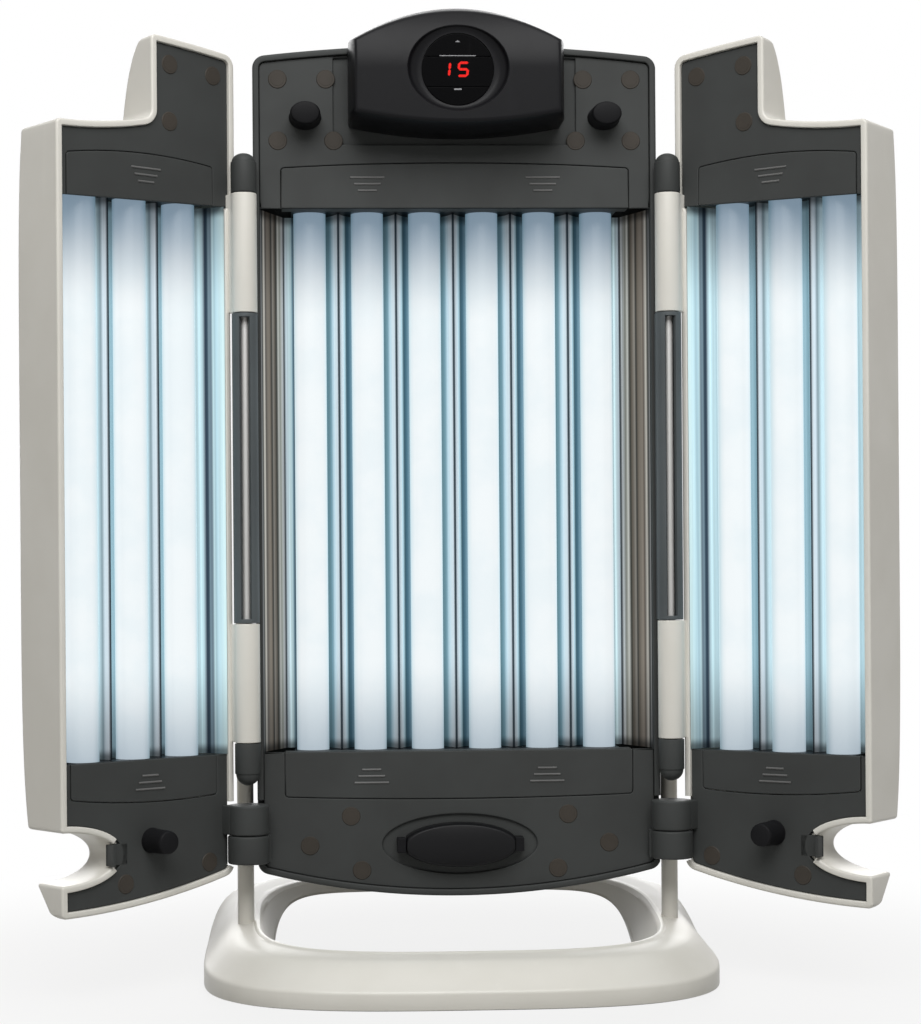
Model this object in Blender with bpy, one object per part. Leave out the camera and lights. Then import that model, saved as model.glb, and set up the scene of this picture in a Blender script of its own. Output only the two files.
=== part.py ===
"""Facial tanner: a free-standing panel of ultraviolet tubes with two wings that fold over it.

Metres, +Z up. The front faces -Y. The origin is the middle of the base ring on the floor.
The centre panel and the base are fixed, and each wing turns about an upright hinge axis.
"""
import math

import bmesh
import bpy

# Clearances
GAP = 0.0003               # between pieces that touch
SEAM = 0.0005              # open joint round a loose cover, key or button
WELD = 0.000002            # points closer than this are one point

# Panel outline, shared by the centre and by the folded wings
PANEL_HALF_WIDTH = 0.158
PANEL_TOP = 0.7308         # height of the top edge at the middle
PANEL_TOP_DROP = 0.0094    # how much lower the top edge is at the side
PANEL_BOTTOM = 0.0655      # height of the bottom edge at the middle
PANEL_BOTTOM_RISE = 0.0205 # how much higher the bottom edge is at the side
PANEL_CORNER = 0.010
RIM = 0.005                # width of the raised rim, which is the side wall
RIM_LIP = 0.0025           # the face plates lie this far behind the rim
BACK_WALL = 0.0025
PLATE = 0.0025             # thickness of the face plates
EDGE_DEPTH = 0.008         # depth of a shell at its top and bottom ends
CENTRE_DEPTH = 0.076
CENTRE_SIDE_FALL = 0.25    # share of the depth lost at the sides of the centre
WING_DEPTH = 0.057
WING_SIDE_FALL = 0.55
WING_SIDE_POWER = 0.40
PILLOW_SQUARENESS = 6.0
PILLOW_POWER = 0.9

# Hinges and wings
HINGE_X = 0.007            # from the panel's side to the axis
HINGE_AHEAD = 0.0100       # the axis lies this far in front of both panels' faces
WING_NEAR = 0.007          # from the axis to the wing's hinge side
WING_FAR = 0.001           # from the middle of the shut tanner to the wing's free side
WING_REST = math.radians(38.5)  # how far a wing stands forward of the centre
STEP_X = 0.0028            # room beside the control head when the wing is shut
STEP_LEVEL = 0.0034        # step at the free side, below the underside of the head
STEP_RISE = 0.005
STEP_CORNER = 0.008
STEP_DRAFT = 0.09          # the wall of the step leans in by this share of its depth
NOTCH_Z = 0.1093            # half-oval notch that clears the open button
NOTCH_DEPTH = 0.041
NOTCH_HALF_HEIGHT = 0.0195

# Lamps, lamp window and lamp covers
LAMP_RADIUS = 0.01275      # T8 tube
LAMP_LENGTH = 0.4374
LAMP_PITCH = 0.0456
LAMP_CAP = 0.008
LAMP_CAP_RADIUS = 0.0124
LAMP_Z = 0.391
CENTRE_LAMPS = 6
WING_LAMPS = 3
CENTRE_LAMP_DEPTH = 0.036  # tube axis behind the panel's face
WING_LAMP_DEPTH = 0.022
WINDOW_HEIGHT = 0.4245
REFLECTOR_BEHIND = 0.0025  # gap between a tube and the trough behind it
REFLECTOR_SHEET = 0.0012
RIDGE_POWER = 3            # sharpness of the ridges
RIDGE_AHEAD = 0.006        # ridges between the tubes reach this far ahead of the tube axes
REFLECTOR_SLOPE = 0.018    # how far a side reflector leans in
REFLECTOR_FRONT = 0.0075
RAIL_HEIGHT = 0.018
RAIL_DEPTH = 0.029
COVER_SIDE_CENTRE = 0.022  # from the panel's side to the cover's side
COVER_SIDE_HINGE = 0.014
COVER_SIDE_FREE = 0.010
COVER_TOP = 0.6385         # top edge of the upper cover at the middle
COVER_TOP_DROP = 0.0055
COVER_LOW = 0.1415
COVER_LOW_RISE = 0.0035
COVER_SHELF = 0.0025       # thickness of the shelf that hides the tube ends
COVER_PROUD = 0.0004       # the covers stand this far proud of the face plates

# Hinge columns and knuckles
COLUMN_RADIUS = 0.010
ROD_RADIUS = 0.0034
DOME_TOP = 0.644
BEARING_TOP = 0.637
BEARING_LOW = 0.613
TUBE_LOW = 0.520
CHANNEL_LOW = 0.280
LOWER_TUBE_LOW = 0.1875
LOWER_BEARING_LOW = 0.1635
LOWER_DOME = 0.1546
DOME_SHARE = 0.92          # radius of a dome as a share of its sleeve's
DOME_TURNS = (0.3, 0.6, 0.85)  # rings of a dome, as shares of a quarter turn
CHANNEL_WALL = 0.003
CHANNEL_MOUTH = math.radians(25.0)  # half of the angle of the slot that shows the rod
KNUCKLE_RADIUS = 0.016
KNUCKLE_TOP = 0.1396
KNUCKLE_SPLIT = 0.1164
KNUCKLE_LOW = 0.0943
SPIGOT_RADIUS = 0.006

# Control head
HEAD_HALF_WIDTH = 0.0835
HEAD_TOP = 0.0232          # above the panel's top edge
HEAD_SHOULDER = 0.0255     # below the top of the head
HEAD_LOW = 0.0964          # underside, below the top of the head
HEAD_LOW_RISE = 0.0090
HEAD_PROUD = 0.046         # in front of the panel's face
HEAD_WALL = 0.0025
# Rounding of the head: share of its depth in front of the panel, inset of the outline
HEAD_ROUNDING = ((0.45, 0.0), (0.82, 0.0012), (0.94, 0.0042), (1.0, 0.0100))
POCKET_HALF_WIDTH = 0.095
POCKET_DEPTH = 0.008
POCKET_LOW = 0.0046        # below the underside of the head
DIAL_Z = 0.0503            # middle of the dial, below the top of the head
DIAL_RADIUS = 0.0275
DIAL_DEPTH = 0.009
DIAL_MOUTH_X = 0.0385
DIAL_MOUTH_Z = 0.0330
SET_KEY_EDGE = 0.0098      # seam of the upper key above the dial's middle
START_KEY_EDGE = 0.0135    # seam of the lower key below the dial's middle
KEY_THICKNESS = 0.0012
KEY_TRAVEL = 0.0008
BOARD_THICKNESS = 0.0016
BOARD_HALF_WIDTH = 0.045
BOARD_HALF_HEIGHT = 0.0295

# Open button and its latch
OPEN_Z = 0.106
OPEN_HALF_X = 0.0455
OPEN_HALF_Z = 0.0170
OPEN_PROUD = 0.013
OPEN_ROUNDING = ((0.55, 1.0), (0.85, 0.93), (1.0, 0.80))  # share of its height, share of its outline
OPEN_TRAVEL = 0.004
DISH_HALF_X = 0.0605
DISH_HALF_Z = 0.0230
DISH_DEPTH = 0.008
DISH_FLOOR = 0.003
DISH_FLARE = 0.75          # share of the dish's overhang that is left at its floor
BOLT_THICKNESS = 0.0035
BOLT_HALF_HEIGHT = 0.0055
BOLT_TRAVEL = 0.002
BOLT_PROUD = 0.007
BOLT_LENGTH = 0.025
TAB_LENGTH = 0.008
TAB_HALF_HEIGHT = 0.008
TAB_PROUD = 0.004

# Bumpers
BUMPER_CLEAR = 0.0015      # left between a bumper and the plate that it meets when shut
PIN_X = 0.117
PIN_Z = 0.0568             # below the panel's top edge
PIN_HALF_X = 0.012
PIN_HALF_Z = 0.00925
STUD_X = 0.082
STUD_Z = 0.1175
STUD_RADIUS = 0.0092
BUMPER_ROUNDING = ((0.0, 1.0), (0.82, 1.0), (0.94, 0.93), (1.0, 0.78))  # share of length, of outline

# Electrical parts inside the centre
BALLAST_WIDTH = 0.200
BALLAST_HEIGHT = 0.022
BALLAST_DEPTH = 0.022
INLET_X = 0.100
INLET_Z = 0.120
INLET_HALF_WIDTH = 0.014
INLET_HALF_HEIGHT = 0.010
INLET_PROUD = 0.004
INLET_LENGTH = 0.026

# Stand
BASE_HALF_WIDTH = 0.201
BASE_HALF_DEPTH = 0.170
BASE_SQUARENESS = 3.2
BASE_HEIGHT = 0.035
BASE_BAR = 0.046           # width of the bars of the base ring at their crest
BASE_OPENING_X = 0.054     # from the ring's sides to the lip of its opening
BASE_OPENING_Y = 0.048     # from the ring's front and rear to the lip of its opening
BASE_OPENING_SQUARENESS = 5.0
BASE_SKIRT = 0.0126         # height of the upright skirt
BASE_FOOT = 0.012          # width of the flat strip that the ring stands on
REAR_LIFT = 0.046          # the rear bar is arched clear of the floor
REAR_RISE = 0.035          # the crest rises this much from the front to the rear
REAR_RISE_POWER = 1.6
# Section of the ring from its foot over the top: share of the bar's width, share of its height
BASE_PROFILE = ((0.43, 0.88), (0.55, 0.94), (0.90, 1.0), (0.97, 0.95))
BASE_LIP = (0.18, 0.06)    # share of the height at the upper and lower edge of the opening's lip
BASE_SIDES = 40
LIFT_START = 0.030         # the arch starts and ends at these depths
LIFT_END = 0.125
PAD_THICKNESS = 0.0015
PAD_WIDTH = 0.008
POST_X = 0.010             # from the panel's side to the axis of a post
POST_BEHIND = 0.024        # post axis behind the centre's face
POST_RADIUS = 0.0065
POST_TOP = 0.420
POST_FOOT = 0.024          # height of the lower end of a post inside the base ring
FACE_Y = -0.036            # the centre's face, measured from the middle of the base ring
SADDLE_LOW = 0.200
SADDLE_HEIGHT = 0.060
SADDLE_DEPTH = 0.024

# Finish of each kind of surface: colour, roughness, metallic
CREAM = ((0.62, 0.60, 0.55), 0.45, 0.0)
CHARCOAL = ((0.045, 0.048, 0.046), 0.55, 0.0)
BLACK = ((0.012, 0.012, 0.014), 0.35, 0.0)
GLOSS_BLACK = ((0.004, 0.004, 0.005), 0.08, 0.0)
MIRROR = ((0.80, 0.82, 0.84), 0.12, 1.0)
STEEL = ((0.55, 0.55, 0.56), 0.30, 1.0)
TUBE_GLASS = ((0.85, 0.92, 0.97), 0.20, 0.0)
RUBBER = ((0.03, 0.03, 0.03), 0.85, 0.0)
BOARD_GREEN = ((0.02, 0.12, 0.05), 0.50, 0.0)

# Round pieces are made with this many sides
FINE_SIDES = 20
LAMP_SIDES = 14
ARC_STEPS = 12
CORNER_STEPS = 6
RIDGE_STEPS = 6
SHARP_ANGLE = math.radians(35.0)
CORNER_SHARES = (0.0, 0.06, 0.29, 1.0)
DEPTH_STEPS = 10
CENTRE_SHARES = (0.85, 0.64, 0.43, 0.21, 0.0, -0.21, -0.43, -0.64, -0.85)
WING_SHARES = (0.16, 0.30, 0.44, 0.58, 0.72, 0.86)

# Derived places
PLATE_FRONT = RIM_LIP
PLATE_BACK = RIM_LIP + PLATE
PANEL_MIDDLE = (PANEL_TOP + PANEL_BOTTOM) / 2
HINGE_AXIS_X = PANEL_HALF_WIDTH + HINGE_X
WING_FREE_X = HINGE_AXIS_X - WING_FAR
STEP_WALL_X = HINGE_AXIS_X - HEAD_HALF_WIDTH - STEP_X
POST_AXIS_X = PANEL_HALF_WIDTH + POST_X
HEAD_TOP_Z = PANEL_TOP + HEAD_TOP
HEAD_SHOULDER_Z = HEAD_TOP_Z - HEAD_SHOULDER
HEAD_LOW_Z = HEAD_TOP_Z - HEAD_LOW
POCKET_LOW_Z = HEAD_LOW_Z - POCKET_LOW
DIAL_MIDDLE_Z = HEAD_TOP_Z - DIAL_Z
PIN_MIDDLE_Z = PANEL_TOP - PIN_Z
STEP_LEVEL_Z = HEAD_LOW_Z - STEP_LEVEL
PANEL_HALF_HEIGHT = (PANEL_TOP - PANEL_BOTTOM) / 2
WINDOW_TOP = LAMP_Z + WINDOW_HEIGHT / 2
WINDOW_LOW = LAMP_Z - WINDOW_HEIGHT / 2
WING_LAMP_MIDDLE = (WING_NEAR + WING_FREE_X) / 2
POCKET_FLOOR = PLATE_FRONT + POCKET_DEPTH
DISH_BACK = PLATE_FRONT + DISH_DEPTH + DISH_FLOOR
DIAL_THICKNESS = KEY_THICKNESS + KEY_TRAVEL + GAP
BUMPER_LENGTH = 2 * (HINGE_AHEAD + PLATE_FRONT) - BUMPER_CLEAR
OUTSIDE = 0.050            # how far cutters reach past what they cut


def new_object(name, bm):
    """Turn a bmesh with closed faces into an object at the origin."""
    bmesh.ops.recalc_face_normals(bm, faces=bm.faces)
    mesh = bpy.data.meshes.new(name)
    bm.to_mesh(mesh)
    bm.free()
    piece = bpy.data.objects.new(name, mesh)
    bpy.context.collection.objects.link(piece)
    return piece


def loft(name, rings):
    """Skin a row of rings that have as many points each, and close both ends."""
    bm = bmesh.new()
    rows = [[bm.verts.new(point) for point in ring] for ring in rings]
    count = len(rows[0])
    for near, far in zip(rows, rows[1:]):
        for i in range(count):
            j = (i + 1) % count
            bm.faces.new((near[i], near[j], far[j], far[i]))
    bm.faces.new(rows[0])
    bm.faces.new(list(reversed(rows[-1])))
    bmesh.ops.triangulate(bm, faces=[face for face in bm.faces if len(face.verts) == 4])
    return new_object(name, bm)


def ring_loft(name, rings):
    """Skin a closed row of rings, so that the last one joins the first."""
    bm = bmesh.new()
    rows = [[bm.verts.new(point) for point in ring] for ring in rings]
    count = len(rows[0])
    for k, near in enumerate(rows):
        far = rows[(k + 1) % len(rows)]
        for i in range(count):
            j = (i + 1) % count
            bm.faces.new((near[i], near[j], far[j], far[i]))
    return new_object(name, bm)


def slab(name, outline, front, back):
    """Extrude an outline of (x, z) points from y = front to y = back."""
    return loft(name, [[(x, y, z) for x, z in outline] for y in (front, back)])


def upright(name, outline, low, high):
    """Extrude an outline of (x, y) points from z = low to z = high."""
    return loft(name, [[(x, y, z) for x, y in outline] for z in (low, high)])


def box(name, x_range, y_range, z_range):
    (x0, x1), (z0, z1) = x_range, z_range
    return slab(name, [(x0, z0), (x1, z0), (x1, z1), (x0, z1)], *y_range)


def circle(radius_x, radius_y, sides, x=0.0, y=0.0):
    turns = [2 * math.pi * i / sides for i in range(sides)]
    return [(x + radius_x * math.cos(t), y + radius_y * math.sin(t)) for t in turns]


def turned(name, profile, sides, x=0.0, y=0.0):
    """Turn a profile of (radius, z) points about an upright axis."""
    rings = [[(px, py, z) for px, py in circle(radius, radius, sides, x, y)] for radius, z in profile]
    return loft(name, rings)


def combine(target, other, operation):
    """Apply a boolean of the second object to the first, and remove the second."""
    modifier = target.modifiers.new(operation, 'BOOLEAN')
    modifier.operation = operation
    modifier.object = other
    modifier.solver = 'EXACT'
    graph = bpy.context.evaluated_depsgraph_get()
    result = bpy.data.meshes.new_from_object(target.evaluated_get(graph))
    close_slivers(result)
    target.modifiers.clear()
    target.data = result
    bpy.data.objects.remove(other, do_unlink=True)
    return target


def close_slivers(mesh):
    """Weld points that a boolean left almost together and fill the needle-thin holes between them."""
    bm = bmesh.new()
    bm.from_mesh(mesh)
    bmesh.ops.remove_doubles(bm, verts=bm.verts, dist=WELD)
    bmesh.ops.dissolve_degenerate(bm, dist=WELD, edges=bm.edges)
    open_edges = [edge for edge in bm.edges if edge.is_boundary]
    bmesh.ops.holes_fill(bm, edges=open_edges, sides=len(open_edges))
    bmesh.ops.recalc_face_normals(bm, faces=bm.faces)
    bm.to_mesh(mesh)
    bm.free()


def cut(target, cutter):
    return combine(target, cutter, 'DIFFERENCE')


def fuse(target, other):
    return combine(target, other, 'UNION')


def finish(piece, name, look, parent, mirrored=False):
    """Name a piece, give it its material and hang it on its frame."""
    if mirrored:
        for vertex in piece.data.vertices:
            vertex.co.x = -vertex.co.x
        piece.data.flip_normals()
    piece.name = name
    piece.data.name = name
    colour, roughness, metallic = look
    surface = bpy.data.materials.new(name)
    surface.use_nodes = True
    shader = surface.node_tree.nodes['Principled BSDF']
    shader.inputs['Base Color'].default_value = (*colour, 1.0)
    shader.inputs['Roughness'].default_value = roughness
    shader.inputs['Metallic'].default_value = metallic
    piece.data.materials.clear()
    piece.data.materials.append(surface)
    piece.data.shade_smooth()
    piece.data.set_sharp_from_angle(angle=SHARP_ANGLE)
    piece.parent = parent
    return piece


def frame_at(name, x, y, turn=0.0):
    """An empty that carries the pieces of one body."""
    empty = bpy.data.objects.new(name, None)
    empty.location = (x, y, 0.0)
    empty.rotation_euler = (0.0, 0.0, turn)
    bpy.context.collection.objects.link(empty)
    return empty


def steps(start, end, count):
    return [start + (end - start) * i / count for i in range(count + 1)]


# Panel outlines, as functions of the distance from the middle of the closed tanner

def panel_high(x):
    return PANEL_TOP - PANEL_TOP_DROP * (x / PANEL_HALF_WIDTH) ** 2


def panel_low(x):
    return PANEL_BOTTOM + PANEL_BOTTOM_RISE * (x / PANEL_HALF_WIDTH) ** 2


def cover_high(x):
    return COVER_TOP - COVER_TOP_DROP * (x / PANEL_HALF_WIDTH) ** 2


def cover_low(x):
    return COVER_LOW + COVER_LOW_RISE * (x / PANEL_HALF_WIDTH) ** 2


def step_level(x):
    return STEP_LEVEL_Z + STEP_RISE * (x / HEAD_HALF_WIDTH) ** 2


def from_middle(wing_x):
    """Distance from the middle when the wing is folded shut."""
    return HINGE_AXIS_X - wing_x


def same(x):
    return x


def corner_drop(from_side, radius):
    """How far a round corner pulls the edge in, at a distance from the side."""
    if from_side >= radius:
        return 0.0
    return radius - math.sqrt(max(radius ** 2 - (radius - from_side) ** 2, 0.0))


def pillow(full, z):
    upward = min(abs(z - PANEL_MIDDLE) / PANEL_HALF_HEIGHT, 1.0)
    return EDGE_DEPTH + (full - EDGE_DEPTH) * (1 - upward ** PILLOW_SQUARENESS) ** PILLOW_POWER


def centre_depth(x, z):
    sideways = x / PANEL_HALF_WIDTH
    return pillow(CENTRE_DEPTH * (1 - CENTRE_SIDE_FALL * sideways ** 2), z)


def wing_depth(x, z):
    inward = (WING_FREE_X - x) / (WING_FREE_X - WING_NEAR)
    return pillow(WING_DEPTH * (1 - WING_SIDE_FALL * inward ** 2) ** WING_SIDE_POWER, z)


def corner_stations(side, inward, radius):
    """Stations across a round corner: the direction inward is +1 or -1."""
    return [side + inward * radius * share for share in CORNER_SHARES]


def block(name, stations, low, high, depth, front, thinner):
    """A pillow-backed block between x stations; thinner takes a wall off its back."""
    rings = []
    for x in stations:
        z0, z1 = low(x), high(x)
        ring = [(x, front, z0)]
        for i in range(DEPTH_STEPS + 1):
            z = z0 + (z1 - z0) * (1 - math.cos(math.pi * i / DEPTH_STEPS)) / 2
            ring.append((x, depth(x, z) - thinner, z))
        ring.append((x, front, z1))
        rings.append(ring)
    bm = bmesh.new()
    rows = [[bm.verts.new(point) for point in ring] for ring in rings]
    for near, far in zip(rows, rows[1:]):
        for i in range(len(near) - 1):
            bm.faces.new((near[i], near[i + 1], far[i + 1], far[i]))
    bmesh.ops.triangulate(bm, faces=bm.faces[:])
    bm.faces.new(rows[0])
    bm.faces.new(rows[-1])
    bm.faces.new([row[0] for row in rows] + [row[-1] for row in reversed(rows)])
    return new_object(name, bm)


def centre_stations(inset):
    """Places across the centre panel, from its right side to its left, at an inset from the outline."""
    half = PANEL_HALF_WIDTH
    right = corner_stations(half - inset, -1, PANEL_CORNER)
    left = corner_stations(-half + inset, 1, PANEL_CORNER)
    return right + [half * share for share in CENTRE_SHARES] + list(reversed(left))


def wing_stations(inset):
    """Places across a wing, from its hinge side to its free side, at an inset from the outline."""
    near = corner_stations(WING_NEAR + inset, 1, PANEL_CORNER)
    across = [WING_NEAR + (WING_FREE_X - WING_NEAR) * share for share in WING_SHARES]
    return near + across + [WING_FREE_X - inset]


def centre_edge(base, inset, sign):
    """Upper or lower edge of the centre panel, with its round corners, as a function of x."""
    side = PANEL_HALF_WIDTH - inset
    return lambda x: base(x) + sign * (inset + corner_drop(side - abs(x), PANEL_CORNER))


def wing_edge(base, inset, sign):
    """Upper or lower edge of a wing, with the round corner on its hinge side, as a function of x."""
    side = WING_NEAR + inset
    return lambda x: base(from_middle(x)) + sign * (inset + corner_drop(x - side, PANEL_CORNER))


# Shells

def centre_shell():
    """Dark tray of the centre panel, with a notch for the control head and room for the knuckles."""
    shell = block('shell', centre_stations(0.0), centre_edge(panel_low, 0.0, 1),
                  centre_edge(panel_high, 0.0, -1), centre_depth, 0.0, 0.0)
    hollow = block('hollow', centre_stations(RIM), centre_edge(panel_low, RIM, 1),
                   centre_edge(panel_high, RIM, -1), centre_depth, -OUTSIDE, BACK_WALL)
    cut(shell, hollow)
    head_room = HEAD_HALF_WIDTH + SEAM
    cut(shell, box('head_notch', (-head_room, head_room), (-OUTSIDE, POCKET_FLOOR),
                   (POCKET_LOW_Z, HEAD_TOP_Z)))
    for side in (-1, 1):
        cut(shell, knuckle_room('room', side))
    back = centre_depth(INLET_X, INLET_Z)
    cut(shell, box('inlet_hole', (INLET_X - INLET_HALF_WIDTH - GAP, INLET_X + INLET_HALF_WIDTH + GAP),
                   (back - INLET_LENGTH, back + OUTSIDE),
                   (INLET_Z - INLET_HALF_HEIGHT - GAP, INLET_Z + INLET_HALF_HEIGHT + GAP)))
    return shell


def knuckle_room(name, side):
    """Cutter that takes the rim away where the knuckles turn, in the centre's frame."""
    near = side * (HINGE_AXIS_X - WING_NEAR + RIM_LIP)
    far = side * (PANEL_HALF_WIDTH - 2 * RIM - 2 * GAP)
    return box(name, (min(near, far), max(near, far)), (-OUTSIDE, KNUCKLE_RADIUS - HINGE_AHEAD + RIM_LIP),
               (KNUCKLE_LOW - RIM_LIP, KNUCKLE_TOP + RIM_LIP))


def step_region(inset, lean=0.0):
    """Outline of the corner that is cut away beside the control head."""
    x0 = STEP_WALL_X - inset - lean
    radius = STEP_CORNER + inset
    far = WING_FREE_X + OUTSIDE
    level = [(x, step_level(from_middle(x)) - inset - lean) for x in steps(x0 + radius, far, ARC_STEPS)]
    z0 = level[0][1]
    corner = []
    for turn in steps(0.0, math.pi / 2, CORNER_STEPS)[1:-1]:
        corner.append((x0 + radius * (1 - math.cos(turn)), z0 + radius * (1 - math.sin(turn))))
    return [(far, PANEL_TOP + OUTSIDE), (x0, PANEL_TOP + OUTSIDE), (x0, z0 + radius)] + corner + level


def step_cutter(inset):
    """Cutter for the step, leaning in from the wing's face to its back."""
    rings = []
    for y in (-2 * OUTSIDE, 3 * OUTSIDE):
        lean = STEP_DRAFT * (y - HINGE_AHEAD)
        rings.append([(x, y, z) for x, z in step_region(inset, lean)])
    return loft('step', rings)


def notch_region(inset):
    return circle(NOTCH_DEPTH + inset, NOTCH_HALF_HEIGHT + inset, FINE_SIDES * 2, WING_FREE_X, NOTCH_Z)


def wing_shell():
    """Cream tray of a wing, with the two hinge tubes moulded on. Local frame: x away from the axis."""
    def depth(x, z):
        return HINGE_AHEAD + wing_depth(x, z)

    shell = block('shell', wing_stations(0.0), wing_edge(panel_low, 0.0, 1),
                  wing_edge(panel_high, 0.0, -1), depth, HINGE_AHEAD, 0.0)
    cut(shell, step_cutter(0.0))
    cut(shell, slab('notch', notch_region(0.0), -OUTSIDE, 3 * OUTSIDE))
    hollow = block('hollow', wing_stations(RIM), wing_edge(panel_low, RIM, 1),
                   wing_edge(panel_high, RIM, -1), depth, -OUTSIDE, BACK_WALL)
    cut(hollow, step_cutter(RIM))
    cut(hollow, slab('notch', notch_region(RIM), -2 * OUTSIDE, 3 * OUTSIDE))
    cut(shell, hollow)
    cut(shell, box('room', (0.0, WING_NEAR + RIM + 3 * GAP),
                   (-OUTSIDE, KNUCKLE_RADIUS + RIM_LIP), (KNUCKLE_LOW - RIM_LIP, KNUCKLE_TOP + RIM_LIP)))
    tab_root = WING_FREE_X - NOTCH_DEPTH
    cut(shell, box('tab_slot', (tab_root - 2 * RIM, tab_root + RIM),
                   (-OUTSIDE, HINGE_AHEAD + PLATE_BACK + GAP),
                   (NOTCH_Z - TAB_HALF_HEIGHT - GAP, NOTCH_Z + TAB_HALF_HEIGHT + GAP)))
    for low, high in ((TUBE_LOW, BEARING_LOW), (LOWER_TUBE_LOW, CHANNEL_LOW)):
        tube = turned('tube', [(COLUMN_RADIUS, low + GAP), (COLUMN_RADIUS, high - GAP)], FINE_SIDES)
        web = box('web', (0.0, WING_NEAR + RIM / 2), (ROD_RADIUS, HINGE_AHEAD + RIM_LIP),
                  (low + 2 * GAP, high - 2 * GAP))
        fuse(tube, web)
        bore = turned('bore', [(ROD_RADIUS + GAP, low - OUTSIDE), (ROD_RADIUS + GAP, high + OUTSIDE)],
                      LAMP_SIDES)
        cut(tube, bore)
        fuse(shell, tube)
    return shell


# Face plates with the parts that are moulded on them

def upper_plate(stations, edge, cover_range, middle_of):
    """Outline of a plate over the window, open below where the lamp cover sits."""
    c0, c1 = cover_range[0] - SEAM, cover_range[1] + SEAM
    places = sorted(stations)
    points = [(places[0], WINDOW_TOP)] + [(x, edge(x)) for x in places] + [(places[-1], WINDOW_TOP)]
    points.append((c1, WINDOW_TOP))
    points += [(x, cover_high(middle_of(x)) + SEAM) for x in steps(c1, c0, ARC_STEPS)]
    points.append((c0, WINDOW_TOP))
    return points


def lower_plate(stations, edge, cover_range, middle_of):
    """Outline of a plate under the window, open above where the lamp cover sits."""
    c0, c1 = cover_range[0] - SEAM, cover_range[1] + SEAM
    places = sorted(stations)
    points = [(places[0], WINDOW_LOW)] + [(x, edge(x)) for x in places] + [(places[-1], WINDOW_LOW)]
    points.append((c1, WINDOW_LOW))
    points += [(x, cover_low(middle_of(x)) - SEAM) for x in steps(c1, c0, ARC_STEPS)]
    points.append((c0, WINDOW_LOW))
    return points


CENTRE_PLATE_HALF = PANEL_HALF_WIDTH - RIM - GAP
CENTRE_COVER = (COVER_SIDE_CENTRE - PANEL_HALF_WIDTH, PANEL_HALF_WIDTH - COVER_SIDE_CENTRE)
WING_PLATE = (WING_NEAR + RIM + GAP, WING_FREE_X - RIM - GAP)
WING_COVER = (WING_NEAR + COVER_SIDE_HINGE, WING_FREE_X - COVER_SIDE_FREE)


def bearing(name, side, low, high, dome, plate_back):
    """Sleeve of a hinge column with its dome and the foot that joins it to the centre's plate."""
    axis_x, axis_y = side * HINGE_AXIS_X, -HINGE_AHEAD
    lift = 1 if dome > high else -1
    start, end = (low, high) if lift > 0 else (high, low)
    profile = [(COLUMN_RADIUS, start + lift * GAP), (COLUMN_RADIUS, end)]
    for turn in DOME_TURNS:
        angle = math.pi / 2 * turn
        profile.append((COLUMN_RADIUS * DOME_SHARE * math.cos(angle), end + (dome - end) * math.sin(angle)))
    if lift < 0:
        profile.reverse()
    sleeve = turned(name, profile, FINE_SIDES, axis_x, axis_y)
    inner_x, outer_x = CENTRE_PLATE_HALF - RIM, CENTRE_PLATE_HALF - GAP
    arm_front = -HINGE_AHEAD + ROD_RADIUS
    arm = [(inner_x, arm_front), (HINGE_AXIS_X, arm_front), (HINGE_AXIS_X, -GAP), (outer_x, -GAP),
           (outer_x, plate_back), (inner_x, plate_back)]
    fuse(sleeve, upright('arm', [(side * x, y) for x, y in arm], low + RIM_LIP, high - RIM_LIP))
    stop = end
    cut(sleeve, turned('bore', [(ROD_RADIUS + GAP, min(start - lift * OUTSIDE, stop)),
                                (ROD_RADIUS + GAP, max(start - lift * OUTSIDE, stop))],
                       LAMP_SIDES, axis_x, axis_y))
    return sleeve


def knuckle(name, low, high, reach, plate_back):
    """A hinge ring with the web that joins it to its plate. Local frame: x from the axis to the plate."""
    ring = turned(name, [(KNUCKLE_RADIUS, low), (KNUCKLE_RADIUS, high)], FINE_SIDES)
    web = box('web', (0.0, reach), (ROD_RADIUS, HINGE_AHEAD + plate_back), (low + GAP, high - GAP))
    return fuse(ring, web)


def centre_bezel_top():
    inset = RIM + GAP
    outline = upper_plate(centre_stations(inset), centre_edge(panel_high, inset, -1), CENTRE_COVER, same)
    plate = slab('bezel', outline, PLATE_FRONT, PLATE_BACK)
    outer = POCKET_HALF_WIDTH + PLATE
    top = [(x, panel_high(x) - RIM - 2 * SEAM) for x in steps(outer, -outer, ARC_STEPS)]
    tray = slab('tray', [(-outer, POCKET_LOW_Z - PLATE), (outer, POCKET_LOW_Z - PLATE)] + top,
                PLATE_FRONT + PLATE / 2, POCKET_FLOOR + PLATE)
    fuse(plate, tray)
    cut(plate, box('pocket', (-POCKET_HALF_WIDTH, POCKET_HALF_WIDTH), (-OUTSIDE, POCKET_FLOOR),
                   (POCKET_LOW_Z, PANEL_TOP + OUTSIDE)))
    for side in (-1, 1):
        fuse(plate, bearing('bearing', side, BEARING_LOW, BEARING_TOP, DOME_TOP, PLATE_FRONT + PLATE / 2))
    return plate


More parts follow.
